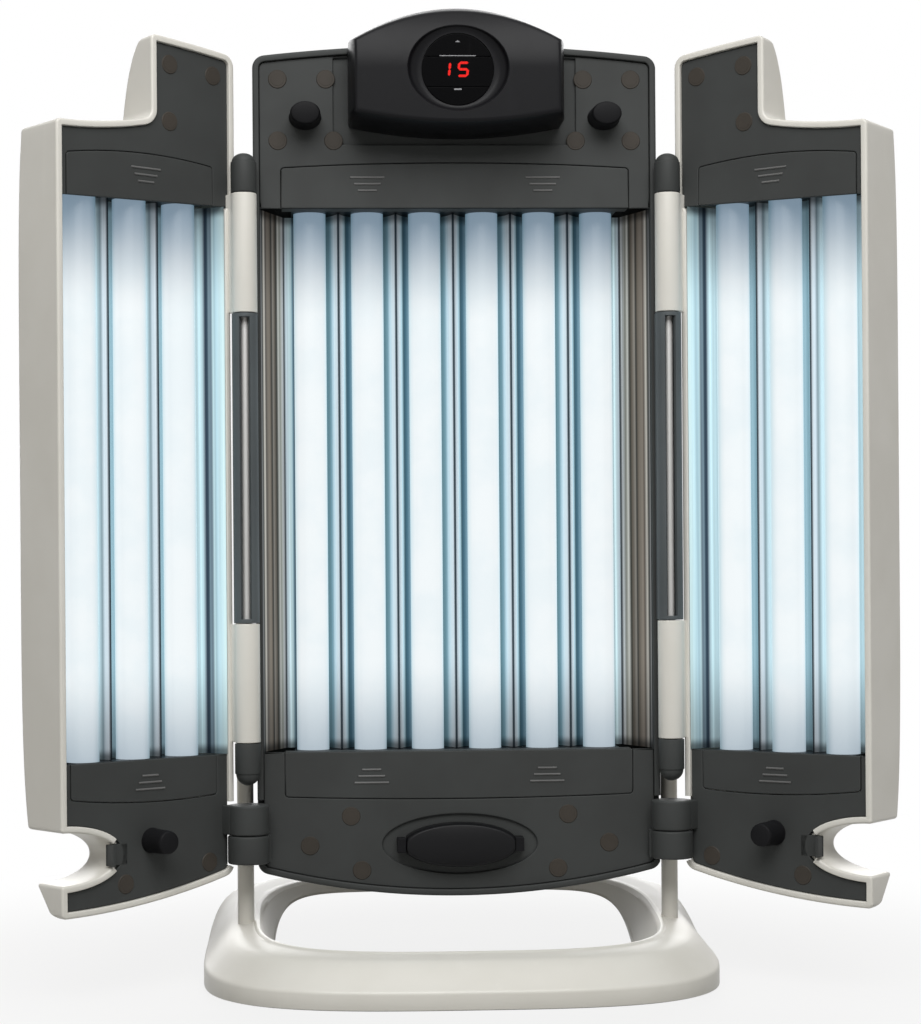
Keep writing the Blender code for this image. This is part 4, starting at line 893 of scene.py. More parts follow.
def lamp_finish():
    """Lit tube: bluish white in front, bluer at its edges and greyer at its ends, near the electrodes."""
    material, tree, shader = new_material('lit tube', Roughness=0.30, Emission_Strength=1.0,
                                          Specular_IOR_Level=0.3)
    height = calc(tree, 'SUBTRACT', part_of(tree, object_place(tree), 'Z'), LAMP_Z)
    along = calc(tree, 'DIVIDE', height, LAMP_LENGTH)
    normal = tree.nodes.new('ShaderNodeTexCoord').outputs['Normal']
    front = ramp(tree, calc(tree, 'MULTIPLY', part_of(tree, normal, 'Y'), -1.0), FACING_SPAN)
    cloud = noise(tree, object_place(tree), scale=24.0, detail=3.0)
    glow = blend_colours(tree, ramp(tree, cloud, NARROW_SPAN), *GLOW_CLOUDS)
    lit = blend_colours(tree, front, GLOW_EDGE, glow)
    top = ramp(tree, along, TOP_SPAN)
    upper = blend_colours(tree, top, lit, blend_colours(tree, front, *GLOW_TOP))
    low = ramp(tree, calc(tree, 'MULTIPLY', along, -1.0), LOW_SPAN)
    lower = blend_colours(tree, front, *GLOW_LOW)
    tree.links.new(blend_colours(tree, low, upper, lower), shader.inputs['Emission Color'])
    tree.links.new(blend_colours(tree, top, *GLASS_COLOURS), shader.inputs['Base Color'])
    return material


def light_finish(name, colour, strength):
    """Glowing mark with a faintly uneven glow."""
    material, tree, shader = new_material(name, Roughness=0.4, Emission_Strength=strength,
                                          Specular_IOR_Level=0.1)
    shade = tuple(c * DIGIT_UNEVEN for c in colour)
    share = ramp(tree, noise(tree, object_place(tree), scale=900.0, detail=1.0), NOISE_SPAN)
    tree.links.new(blend_colours(tree, share, colour, shade), shader.inputs['Emission Color'])
    tree.links.new(blend_colours(tree, share, *DIGIT_UNLIT), shader.inputs['Base Color'])
    return material


MOULDED_GRAIN = moulded_grain_group()
DRAWN_LINES = drawn_lines_group()
CREAM = plastic('cream shell', (0.7, 0.682, 0.628), (0.665, 0.646, 0.59),
                rough=0.36, grain=1500.0, depth=0.00004, scuff=0.25, specular=0.5)
CHARCOAL = plastic('charcoal face', (0.046, 0.049, 0.048), (0.039, 0.041, 0.04),
                   rough=0.52, grain=1900.0, depth=0.00008, scuff=0.3, specular=0.18)
CHARCOAL_HINGE = plastic('charcoal hinge', (0.083, 0.095, 0.1), (0.07, 0.079, 0.083),
                         rough=0.44, grain=1500.0, depth=0.00005, scuff=0.4, specular=0.25)
# Painted highlight: the ribs' lighter grey stands in for the light on their tops.
GRIP_PAINTED_HIGHLIGHT = plastic('grip rib', (0.135, 0.135, 0.133), (0.11, 0.11, 0.108),
                    rough=0.46, grain=1500.0, depth=0.00004, scuff=0.4, specular=0.25)
HEAD_BLACK = plastic('black head', (0.0066, 0.0066, 0.0078), (0.0048, 0.0048, 0.0057),
                     rough=0.3, grain=2100.0, depth=0.00005, scuff=0.3, specular=0.11)
BUTTON_BLACK = plastic('black button', (0.005, 0.005, 0.0058), (0.0038, 0.0038, 0.0044),
                       rough=0.34, grain=2100.0, depth=0.00004, scuff=0.3, specular=0.15)
RUBBER = plastic('rubber', (0.009, 0.009, 0.01), (0.0068, 0.0068, 0.0075),
                 rough=0.46, grain=1100.0, depth=0.00005, scuff=0.4, specular=0.08)
PALE_RUBBER = plastic('pale rubber', (0.4, 0.39, 0.37), (0.35, 0.34, 0.32),
                      rough=0.55, grain=1100.0, depth=0.00005, scuff=0.4)
CAP_BROWN = plastic('screw cap', (0.047, 0.04, 0.033), (0.037, 0.032, 0.026),
                    rough=0.48, grain=1300.0, depth=0.00004, scuff=0.4, specular=0.18)
PRINT_GREY = plastic('dial print', (0.26, 0.26, 0.27), (0.2, 0.2, 0.21),
                     rough=0.5, grain=900.0, depth=0.00002, scuff=0.2)
DIAL_BLACK = plastic('dial gloss', (0.0022, 0.0022, 0.0026), (0.0017, 0.0017, 0.002),
                     rough=0.2, grain=600.0, depth=0.000002, scuff=0.3, specular=0.03)
BOARD_GREEN = plastic('circuit board', (0.02, 0.12, 0.05), (0.015, 0.09, 0.04),
                      rough=0.45, grain=500.0, depth=0.00005, scuff=0.3)
STEEL = metal('drawn steel', (0.68, 0.67, 0.66), (0.56, 0.555, 0.55), rough=0.45, lines=1300.0)
ROD_STEEL = metal('satin rod', (0.62, 0.615, 0.6), (0.55, 0.545, 0.53), rough=0.5, lines=1300.0,
                  metallic=0.25)
CAP_METAL = metal('lamp cap', (0.6, 0.61, 0.62), (0.45, 0.46, 0.47), rough=0.32, lines=600.0)
# Painted reflections: the bright bands and the dark line across each ridge stand in for the tubes and the room
# that the sheet mirrors.
CENTRE_PAINTED_REFLECTIONS = painted_reflection_finish('centre sheet painted reflections', 'ridge', (
    (-0.5, (0.12, 0.22, 0.26)), (-0.35, (0.14, 0.24, 0.28)), (-0.28, (0.2, 0.33, 0.39)),
    (-0.21, (0.53, 0.67, 0.74)), (-0.14, (0.7, 0.78, 0.83)), (-0.06, (0.66, 0.71, 0.75)),
    (-0.03, (0.02, 0.03, 0.04)), (0.02, (0.02, 0.03, 0.04)), (0.05, (0.55, 0.58, 0.61)),
    (0.14, (0.74, 0.83, 0.88)), (0.2, (0.48, 0.65, 0.71)), (0.26, (0.045, 0.1, 0.13)),
    (0.35, (0.07, 0.15, 0.2)), (0.45, (0.21, 0.33, 0.4))),
    lines=700.0, grain=0.12)
WING_PAINTED_REFLECTIONS = painted_reflection_finish('wing sheet painted reflections', 'ridge', (
    (-0.6, (0.36, 0.5, 0.56)), (-0.4, (0.2, 0.32, 0.37)), (-0.28, (0.42, 0.58, 0.64)),
    (-0.18, (0.62, 0.76, 0.82)), (-0.08, (0.48, 0.6, 0.65)), (-0.05, (0.03, 0.04, 0.05)),
    (0.02, (0.03, 0.04, 0.05)), (0.045, (0.62, 0.66, 0.7)), (0.09, (0.6, 0.66, 0.71)),
    (0.13, (0.22, 0.28, 0.31)), (0.2, (0.64, 0.78, 0.83)), (0.32, (0.62, 0.77, 0.8)),
    (0.45, (0.52, 0.68, 0.74))),
    lines=700.0, grain=0.1)
# Painted reflections on the leaning sides: the bright, brown and dark lines stand in for what these mirrored
# sides show; the centre strip's stronger glow is painted light on sides in shade.
CENTRE_STRIP_PAINTED_REFLECTIONS = painted_reflection_finish('centre strip painted reflections', 'strip', (
    (0, (0.2, 0.2, 0.2)), (0.045, (0.02, 0.02, 0.016)), (0.09, (0.5, 0.47, 0.42)),
    (0.14, (0.09, 0.07, 0.055)), (0.2, (0.22, 0.185, 0.15)), (0.27, (0.14, 0.115, 0.09)),
    (0.31, (0.02, 0.018, 0.014)), (0.35, (0.3, 0.27, 0.235)), (0.4, (0.12, 0.1, 0.08)),
    (0.46, (0.04, 0.037, 0.028)), (0.51, (0.52, 0.51, 0.47)), (0.57, (0.22, 0.215, 0.185)),
    (0.64, (0.52, 0.52, 0.52)), (0.68, (0.02, 0.025, 0.03)), (0.7, (0.03, 0.035, 0.04)),
    (0.715, (0.5, 0.6, 0.66)), (0.765, (0.6, 0.78, 0.82)), (0.795, (0.1, 0.17, 0.21)),
    (0.82, (0.03, 0.05, 0.07))),
    lines=420.0, grain=0.45, glow=0.62)
WING_STRIP_PAINTED_REFLECTIONS = painted_reflection_finish('wing strip painted reflections', 'strip', (
    (0, (0.6, 0.76, 0.77)), (0.09, (0.53, 0.72, 0.78)), (0.15, (0.37, 0.53, 0.6)),
    (0.18, (0.51, 0.68, 0.73)), (0.205, (0.13, 0.18, 0.22)), (0.24, (0.18, 0.25, 0.3)),
    (0.265, (0.035, 0.06, 0.085)), (0.3, (0.03, 0.045, 0.07)), (0.33, (0.36, 0.46, 0.51)),
    (0.37, (0.64, 0.82, 0.86)), (0.425, (0.51, 0.64, 0.68))),
    lines=420.0, grain=0.2)
LAMP_GLASS = lamp_finish()
DIGIT_RED = light_finish('display digits', (1.0, 0.012, 0.006), 1.0)


# Repeated small parts, made by geometry nodes

def geometry_tree(name, inputs):
    """Node tree with named inputs, which are (label, kind) pairs."""
    tree = bpy.data.node_groups.new(name, 'GeometryNodeTree')
    for label, kind in (('Places', 'Geometry'), *inputs, ('Finish', 'Material')):
        tree.interface.new_socket(label, in_out='INPUT', socket_type='NodeSocket' + kind)
    tree.interface.new_socket('Parts', in_out='OUTPUT', socket_type='NodeSocketGeometry')
    return tree, tree.nodes.new('NodeGroupInput').outputs, tree.nodes.new('NodeGroupOutput').inputs


def end_tree(tree, given, result, instances):
    """Close a tree with real geometry and its finish."""
    real = add_node(tree, 'GeometryNodeRealizeInstances', Geometry=instances)
    coat = add_node(tree, 'GeometryNodeSetMaterial', Geometry=real.outputs[0], Material=given['Finish'])
    tree.links.new(coat.outputs[0], result['Parts'])
    return tree


def screw_cap_tree():
    """A low plug with a bevelled edge and a slightly raised middle at each place, facing the front."""
    tree, given, result = geometry_tree('screw caps', (('Radius', 'Float'), ('Height', 'Float')))
    both = tree.nodes.new('GeometryNodeJoinGeometry')
    for sides, top, bottom, tall in (
            (CAP_SIDES, CAP_BEVEL, 1.0, 1.0),
            (CAP_MIDDLE_SIDES, CAP_MIDDLE_TOP, CAP_MIDDLE, CAP_MIDDLE_HEIGHT)):
        plug = add_node(tree, 'GeometryNodeMeshCone', Vertices=sides,
                        Radius_Top=calc(tree, 'MULTIPLY', given['Radius'], top),
                        Radius_Bottom=calc(tree, 'MULTIPLY', given['Radius'], bottom),
                        Depth=calc(tree, 'MULTIPLY', given['Height'], tall))
        tree.links.new(plug.outputs['Mesh'], both.inputs[0])
    spots = add_node(tree, 'GeometryNodeInstanceOnPoints', Points=given['Places'], Instance=both.outputs[0],
                     Rotation=(math.pi / 2, 0.0, 0.0))
    return end_tree(tree, given, result, spots.outputs[0])


def grip_tree():
    """Rows of ribs at each place. Of three rows, the last has the shortest length."""
    sizes = ('Longest', 'Shortest', 'Pitch', 'Width')
    tree, given, result = geometry_tree('grip ribs', (*((size, 'Float') for size in sizes), ('Rows', 'Int')))
    step = add_node(tree, 'ShaderNodeCombineXYZ', Z=given['Pitch'])
    rows = add_node(tree, 'GeometryNodeMeshLine', Count=given['Rows'], Offset=step.outputs[0])
    line = add_node(tree, 'GeometryNodeCurvePrimitiveLine', Start=(-0.5, 0.0, 0.0), End=(0.5, 0.0, 0.0))
    section = add_node(tree, 'GeometryNodeCurvePrimitiveCircle', Resolution=RIB_SIDES,
                       Radius=calc(tree, 'MULTIPLY', given['Width'], 0.5))
    rib = add_node(tree, 'GeometryNodeCurveToMesh', Curve=line.outputs[0], Profile_Curve=section.outputs[0],
                   Fill_Caps=True)
    index = tree.nodes.new('GeometryNodeInputIndex').outputs[0]
    drop = calc(tree, 'SUBTRACT', given['Longest'], given['Shortest'])
    shorter = calc(tree, 'MULTIPLY', calc(tree, 'MULTIPLY', index, 0.5), drop)
    length = calc(tree, 'SUBTRACT', given['Longest'], shorter)
    size = add_node(tree, 'ShaderNodeCombineXYZ', X=length, Y=1.0, Z=1.0)
    ribs = add_node(tree, 'GeometryNodeInstanceOnPoints', Points=rows.outputs[0], Instance=rib.outputs[0],
                    Scale=size.outputs[0])
    spots = add_node(tree, 'GeometryNodeInstanceOnPoints', Points=given['Places'], Instance=ribs.outputs[0])
    return end_tree(tree, given, result, spots.outputs[0])


def from_tree(tree, name, places, body, slot, place, **values):
    """Run a tree on a set of places and keep the result as a plain mesh."""
    mesh = bpy.data.meshes.new(name + '_places')
    mesh.from_pydata(places, [], [])
    guide = bpy.data.objects.new(name + '_places', mesh)
    bpy.context.collection.objects.link(guide)
    modifier = guide.modifiers.new('parts', 'NODES')
    modifier.node_group = tree
    for item in tree.interface.items_tree:
        if item.in_out == 'INPUT' and item.name in values:
            modifier[item.identifier] = values[item.name]
    graph = bpy.context.evaluated_depsgraph_get()
    made = bpy.data.meshes.new_from_object(guide.evaluated_get(graph))
    bpy.data.objects.remove(guide)
    bpy.data.meshes.remove(mesh)
    made.materials.clear()
    return settle(made, name, body, [values['Finish']], place)


SCREW_CAPS = screw_cap_tree()
GRIP_RIBS = grip_tree()


# Shells

def shell(bm, outline, depth, rim_front, lean):
    """Tray with a rounded rim, side walls, a rounded edge and a pillowed back, hollow inside."""
    fronts = [rim_front(x, z) for x, z in outline]
    leans = [lean(x, z) for x, z in outline]

    def row(across, level):
        """One ring. Leaning moves a point to where the back is deeper or less deep, so it takes rounds."""
        spots = inset(outline, across)
        for _ in range(LEAN_ROUNDS):
            heights = [level(x, z, front) for (x, z), front in zip(spots, fronts)]
            spots = inset(outline, [across + share * y for share, y in zip(leans, heights)])
        return [(x, y, z) for (x, z), y in zip(spots, heights)]

    def ahead(distance):
        return lambda x, z, front: front + distance

    def behind(distance):
        return lambda x, z, front: depth(x, z) - distance

    rings = [row(RIM, behind(BACK_WALL)), row(RIM, ahead(RIM_INNER_EDGE + SUPPORT))]
    rings += [row(RIM - across, ahead(up)) for across, up in rounding(RIM_INNER_EDGE, FINE_STEPS)]
    rings += [row(across, ahead(up)) for across, up in reversed(rounding(RIM_OUTER_EDGE))]
    rings += [row(0.0, ahead(RIM_OUTER_EDGE + SUPPORT)), row(0.0, behind(BACK_EDGE + SUPPORT))]
    rings += [row(across, behind(up)) for across, up in rounding(BACK_EDGE)]
    rows = skin(bm, rings)
    quilt(bm, rows[-1], depth)
    quilt(bm, rows[0], lambda x, z: depth(x, z) - BACK_WALL)


def in_knuckle_room(z):
    return KNUCKLE_LOW - PLATE_FRONT < z < KNUCKLE_TOP + PLATE_FRONT


def centre_shell():
    def rim_front(x, z):
        beside = abs(x) > PANEL_HALF_WIDTH - 2 * RIM
        return KNUCKLE_RADIUS - HINGE_AHEAD + PLATE_FRONT if beside and in_knuckle_room(z) else 0.0

    bm = bmesh.new()
    shell(bm, centre_outline(), centre_depth, rim_front, lambda x, z: 0.0)
    finish(bm, 'centre_tray', 'root', [CHARCOAL], nodes=['centre_shell'])


def wing_shell(word):
    def rim_front(x, z):
        if x < WING_NEAR + 2 * RIM and in_knuckle_room(z):
            return KNUCKLE_RADIUS - HINGE_AHEAD + PLATE_FRONT
        if TAB_ROOT - RIM < x < TAB_ROOT + 2 * RIM and abs(z - NOTCH_Z) < TAB_HALF_HEIGHT + GAP:
            return PLATE_BACK + GAP
        return 0.0

    def lean(x, z):
        if z < STEP_LEVEL - RIM:
            return 0.0
        by_wall = 1 - min(max(abs(x - STEP_WALL_X) - FREE_CORNER / 2, 0.0) / FREE_CORNER, 1.0)
        on_level = 1.0 if x > STEP_WALL_X + FREE_CORNER and z < STEP_LEVEL + 3 * STEP_CORNER else 0.0
        at_free_side = min((WING_FREE_X - x) / FREE_CORNER, 1.0)
        return STEP_DRAFT * max(by_wall, on_level * at_free_side)

    bm = bmesh.new()
    shell(bm, wing_outline(), wing_depth, rim_front, lean)
    for vert in bm.verts:
        vert.co.y += HINGE_AHEAD
    for low, high in ((TUBE_LOW, BEARING_LOW), (LOWER_TUBE_LOW, CHANNEL_LOW)):
        turned(bm, rounded_rod(COLUMN_RADIUS, low + GAP, high - GAP, FINE_EDGE))
        rounded_box(bm, (0.0, WING_NEAR + RIM / 2), (ROD_RADIUS, HINGE_AHEAD + PLATE_FRONT),
                    (low + 2 * GAP, high - 2 * GAP))
    finish(bm, 'wing_tray_' + word, 'wing_' + word, [CREAM], WING_FRAMES[word],
           ['wing_shell_' + word])


# Face plates

def run_inside(outline, keep):
    """The unbroken run of an outline's points that pass a test."""
    count = len(outline)
    first = next(i for i in range(count) if keep(outline[i]) and not keep(outline[i - 1]))
    run = []
    while keep(outline[(first + len(run)) % count]):
        run.append(outline[(first + len(run)) % count])
    return run


def face_outline(panel, cover_range, edges, upper):
    """Outline of a face plate above or below the window, open where the lamp cover sits."""
    high, low, window = edges
    ring = inset(panel, RIM + GAP)
    c0, c1 = cover_range[0] - SEAM, cover_range[1] + SEAM
    corner = COVER_CORNER + SEAM
    across = spread(c0 + 2 * corner, c1 - 2 * corner, EDGE_POINTS)
    if upper:
        run = run_inside(ring, lambda p: p[1] > WINDOW_TOP)
        mouth = [(c0, window(c0), 0.0), (c0, high(c0) + SEAM, corner)]
        mouth += [(x, high(x) + SEAM, 0.0) for x in across]
        mouth += [(c1, high(c1) + SEAM, corner), (c1, window(c1), 0.0)]
        ends = [(p[0], window(p[0]), 0.0) for p in (run[0], run[-1])]
    else:
        run = run_inside(ring, lambda p: p[1] < WINDOW_LOW)
        mouth = [(c1, WINDOW_LOW, 0.0), (c1, low(c1) - SEAM, corner)]
        mouth += [(x, low(x) - SEAM, 0.0) for x in reversed(across)]
        mouth += [(c0, low(c0) - SEAM, corner), (c0, WINDOW_LOW, 0.0)]
        ends = [(p[0], WINDOW_LOW, 0.0) for p in (run[0], run[-1])]
    return fillet(ends[:1] + [(x, z, 0.0) for x, z in run] + ends[1:] + mouth)


def sleeve(bm, side, low, high, dome):
    """Hinge sleeve with its dome, and the arm behind it that carries it on the centre's rim."""
    lift = 1 if dome > high else -1
    open_end, dome_end = (low, high) if lift > 0 else (high, low)
    radius = COLUMN_RADIUS * DOME_SHARE
    edge = rounding(FINE_EDGE, FINE_STEPS)
    profile = [(COLUMN_RADIUS - across, open_end + lift * (GAP + up)) for across, up in reversed(edge)]
    profile += [(COLUMN_RADIUS - across, dome_end - lift * up) for across, up in edge]
    for turn in spread(0.0, math.pi / 2, DOME_STEPS):
        across = max(radius * math.cos(turn), radius / ROUND_SIDES)
        profile.append((across, dome_end + (dome - dome_end) * math.sin(turn)))
    turned(bm, profile, side * HINGE_AXIS_X, -HINGE_AHEAD)
    rounded_box(bm, (side * (PANEL_HALF_WIDTH - GAP), side * HINGE_AXIS_X), (ROD_RADIUS - HINGE_AHEAD, -GAP),
                (low + PLATE_FRONT, high - PLATE_FRONT))


def centre_face_top():
    half = POCKET_HALF_WIDTH
    curved = POCKET_CURVE_SHARE * half
    below = RIM + 4 * SEAM
    top = [(x, panel_high(x) - below, 0.0) for x in spread(curved, -curved, POCKET_STEPS)]
    corner_z = panel_high(half) - below
    pocket = fillet([(-half, POCKET_LOW, POCKET_CORNER), (half, POCKET_LOW, POCKET_CORNER),
                     (half, corner_z, FINE_EDGE)] + top + [(-half, corner_z, FINE_EDGE)])
    bm = bmesh.new()
    plate(bm, face_outline(centre_outline(), CENTRE_COVER, CENTRE_EDGES, True), PLATE_FRONT, PLATE_BACK,
          wells=[well(pocket, PLATE_FRONT, POCKET_FLOOR, FINE_EDGE, 2 * FINE_EDGE)])
    for side in SIDES.values():
        sleeve(bm, side, BEARING_LOW, BEARING_TOP, DOME_TOP)
    finish(bm, 'centre_face_top', 'root', [CHARCOAL], nodes=['centre_bezel_top'])


def dish():
    """Rings of the oval dish round the open button, from its mouth to the bottom of the button's hole."""
    hole_x, hole_z = OPEN_HALF_X + SEAM, OPEN_HALF_Z + SEAM
    floor_x = hole_x + (DISH_HALF_X - hole_x) * DISH_FLARE
    floor_z = hole_z + (DISH_HALF_Z - hole_z) * DISH_FLARE
    floor = PLATE_FRONT + DISH_DEPTH
    rows = [(DISH_HALF_X + 3 * FINE_EDGE, DISH_HALF_Z + 3 * FINE_EDGE, PLATE_FRONT)]
    rows += [(DISH_HALF_X + 2 * across, DISH_HALF_Z + 2 * across, PLATE_FRONT + 2 * up)
             for across, up in reversed(rounding(FINE_EDGE))]
    for turn in spread(0.0, math.pi / 2, 2 * ARC_STEPS)[1:]:
        share = 1 - math.cos(turn)
        half_x = DISH_HALF_X + (floor_x - DISH_HALF_X) * share
        half_z = DISH_HALF_Z + (floor_z - DISH_HALF_Z) * share
        deep = 2 * FINE_EDGE + (DISH_DEPTH - 2 * FINE_EDGE) * math.sin(turn)
        rows.append((half_x, half_z, PLATE_FRONT + deep))
    rows.append((hole_x + SEAM, hole_z + SEAM, floor))
    rows += [(hole_x, hole_z, floor + SEAM), (hole_x, hole_z, floor + PLATE)]
    return [flat_ring(ellipse(half_x, half_z, 2 * ROUND_SIDES, 0.0, OPEN_Z), y) for half_x, half_z, y in rows]


def knuckle(bm, low, high, reach, side=1, x=0.0, y=0.0):
    """Hinge ring with the web that joins it to its plate."""
    turned(bm, rounded_rod(KNUCKLE_RADIUS, low, high, KNUCKLE_EDGE), x, y)
    rounded_box(bm, (x, x + side * reach), (y + ROD_RADIUS, y + HINGE_AHEAD + PLATE_FRONT + PLATE / 2),
                (low + GAP, high - GAP))


def centre_face_bottom():
    bm = bmesh.new()
    plate(bm, face_outline(centre_outline(), CENTRE_COVER, CENTRE_EDGES, False), PLATE_FRONT, PLATE_BACK,
          wells=[dish()])
    reach = HINGE_AXIS_X - PANEL_HALF_WIDTH + 2 * RIM + GAP
    for side in SIDES.values():
        sleeve(bm, side, LOWER_BEARING_LOW, LOWER_TUBE_LOW, LOWER_DOME)
        knuckle(bm, KNUCKLE_LOW, KNUCKLE_SPLIT - GAP, reach, -side, side * HINGE_AXIS_X, -HINGE_AHEAD)
    finish(bm, 'centre_face_bottom', 'root', [CHARCOAL], nodes=['centre_bezel_bottom'])


def wing_faces(word):
    front, back = HINGE_AHEAD + PLATE_FRONT, HINGE_AHEAD + PLATE_BACK
    for upper, level in LEVELS:
        bm = bmesh.new()
        plate(bm, face_outline(wing_outline(), WING_COVER, WING_EDGES, upper), front, back)
        if not upper:
            tab_z = (NOTCH_Z - TAB_HALF_HEIGHT, NOTCH_Z + TAB_HALF_HEIGHT)
            tip = TAB_ROOT + TAB_LENGTH
            rounded_box(bm, (TAB_ROOT - 2 * RIM + GAP, tip), (front, back), tab_z)
            rounded_box(bm, (tip - PLATE, tip), (HINGE_AHEAD - TAB_PROUD, back), tab_z)
            knuckle(bm, KNUCKLE_SPLIT + GAP, KNUCKLE_TOP, WING_NEAR + 2 * RIM + GAP)
        finish(bm, f'wing_face_{level}_{word}', 'wing_' + word, [CHARCOAL],
               WING_FRAMES[word], [f'wing_bezel_{level}_{word}'])


# Lamps, reflectors and covers

def lamp_places(count, middle):
    return [middle + LAMP_PITCH * (i - (count - 1) / 2) for i in range(count)]


def lamp(name, node, body, x, depth, place):
    """Glass tube with rounded shoulders between two metal caps."""
    half = LAMP_LENGTH / 2
    glass_end = half - LAMP_CAP
    bm = bmesh.new()
    turned(bm, rounded_rod(LAMP_RADIUS, LAMP_Z - glass_end, LAMP_Z + glass_end, FINE_EDGE), x, depth)
    glass = len(bm.faces)
    for side in (-1, 1):
        ends = sorted((LAMP_Z + side * (glass_end - SEAM), LAMP_Z + side * half))
        turned(bm, rounded_rod(LAMP_CAP_RADIUS, *ends, FINE_EDGE), x, depth)
    second_finish(bm, glass)
    finish(bm, name, body, [LAMP_GLASS, CAP_METAL], place, [node])


def reflector(name, node, body, places, depth, sides, fronts, finishes, place):
    """Bright sheet with a trough behind each tube, a ridge between tubes and leaning sides, which carry
    painted reflection lines.

    The attribute 'ridge' runs from -1 to 1 across each ridge, and 'strip' from 0 at each side of the sheet,
    over its leaning part and the flat beside it, to 1 behind the first tube.
    """
    trough = depth + LAMP_RADIUS + REFLECTOR_BEHIND
    ridge = depth - RIDGE_AHEAD
    half = LAMP_PITCH / 2
    section = [(sides[0], fronts[0], 0.0, 0.0), (sides[0] + REFLECTOR_SLOPE, trough, 0.0, SLOPE_SHARE)]
    section.append((places[0] - SEAM, trough, 0.0, 1.0))
    for spot in places[:-1]:
        section.append((spot, trough, -1.0, 1.0))
        for x in spread(-half, half, RIDGE_STEPS)[1:-1]:
            share = (1 - abs(x) / half) ** RIDGE_POWER
            section.append((spot + half + x, trough - (trough - ridge) * share, x / half, 1.0))
        section.append((spot + LAMP_PITCH - SEAM, trough, 1.0, 1.0))
    section.append((places[-1], trough, 0.0, 1.0))
    section += [(sides[1] - REFLECTOR_SLOPE, trough, 0.0, SLOPE_SHARE), (sides[1], fronts[1], 0.0, 0.0)]
    bm = bmesh.new()
    layers = [bm.verts.layers.float.new(label) for label in ('ridge', 'strip')]
    near, far = [], []
    for x, y, signed, strip in section:
        for store, deeper in ((near, 0.0), (far, REFLECTOR_SHEET)):
            pair = [bm.verts.new((x, y + deeper, z)) for z in (WINDOW_LOW + GAP, WINDOW_TOP - GAP)]
            for vert in pair:
                vert[layers[0]] = signed
                vert[layers[1]] = strip
            store.append(pair)
    last = len(section) - 1
    for i in range(last):
        for rows in (near, far):
            face = bm.faces.new((rows[i][0], rows[i + 1][0], rows[i + 1][1], rows[i][1]))
            face.material_index = 1 if i < 2 or i > last - 3 else 0
        for k in (0, 1):
            bm.faces.new((near[i][k], near[i + 1][k], far[i + 1][k], far[i][k]))
    for i in (0, last):
        bm.faces.new((near[i][0], near[i][1], far[i][1], far[i][0]))
    finish(bm, name, body, finishes, place, [node])


def cover(node, parent_frame, cover_range, edges, upper, face, lamp_depth, grips, grip_shift):
    """Loose lamp cover with its shelf and finger grips."""
    x0, x1 = cover_range
    high, low, window = edges
    front = face + PLATE_FRONT - COVER_PROUD
    across = spread(x0 + 2 * COVER_CORNER, x1 - 2 * COVER_CORNER, EDGE_POINTS)
    if upper:
        corners = [(x0, window(x0), 0.0), (x1, window(x1), 0.0), (x1, high(x1), COVER_CORNER)]
        corners += [(x, high(x), 0.0) for x in reversed(across)]
        corners += [(x0, high(x0), COVER_CORNER)]
        shelf = (WINDOW_TOP, WINDOW_TOP + COVER_SHELF)
        first_row, pitch = COVER_TOP - GRIP_FROM_TOP - grip_shift, -GRIP_PITCH
    else:
        corners = [(x0, WINDOW_LOW, 0.0), (x0, low(x0), COVER_CORNER)]
        corners += [(x, low(x), 0.0) for x in across]
        corners += [(x1, low(x1), COVER_CORNER), (x1, WINDOW_LOW, 0.0)]
        shelf = (WINDOW_LOW - COVER_SHELF, WINDOW_LOW)
        first_row, pitch = COVER_LOW + GRIP_FROM_LOW + grip_shift, GRIP_PITCH
    bm = bmesh.new()
    plate(bm, fillet(corners), front, face + PLATE_BACK)
    rounded_box(bm, cover_range, (front + FINE_EDGE, lamp_depth - RAIL_DEPTH / 2 - GAP), shelf, FINE_EDGE / 2)
    finish(bm, 'lid_' + node, node, [CHARCOAL], parent_frame, [node])
    places = [(x, front, first_row) for x in grips]
    from_tree(GRIP_RIBS, 'grip_' + node, places, node, 'charcoal_plastic', parent_frame, Longest=GRIP_LONG,
              Shortest=GRIP_SHORT, Pitch=pitch, Width=GRIP_WIDTH, Rows=GRIP_ROWS, Finish=GRIP_PAINTED_HIGHLIGHT)


# Control head

def head_outline():
    half, corner = HEAD_HALF_WIDTH, HEAD_CORNER
    side = spread(head_low(half) + 2 * corner, head_high(half) - 2 * corner, EDGE_POINTS)
    return four_sided(half, head_low, head_high, corner, side)


def toward_dial(outline, half_x, half_z):
    """For each point, the point of an ellipse round the dial on the same ray."""
    points = []
    for x, z in outline:
        rise = z - DIAL_Z
        share = 1 / math.hypot(x / half_x, rise / half_z)
        points.append((x * share, DIAL_Z + rise * share))
    return points


def head_front(x, z):
    """Depth of the head's front, which leans back above the dial and bows back at the sides."""
    up = max((z - DIAL_Z) / (HEAD_TOP - DIAL_Z), 0.0)
    return -HEAD_PROUD + HEAD_LEAN * up ** 2 + HEAD_BOW * (x / HEAD_HALF_WIDTH) ** 2


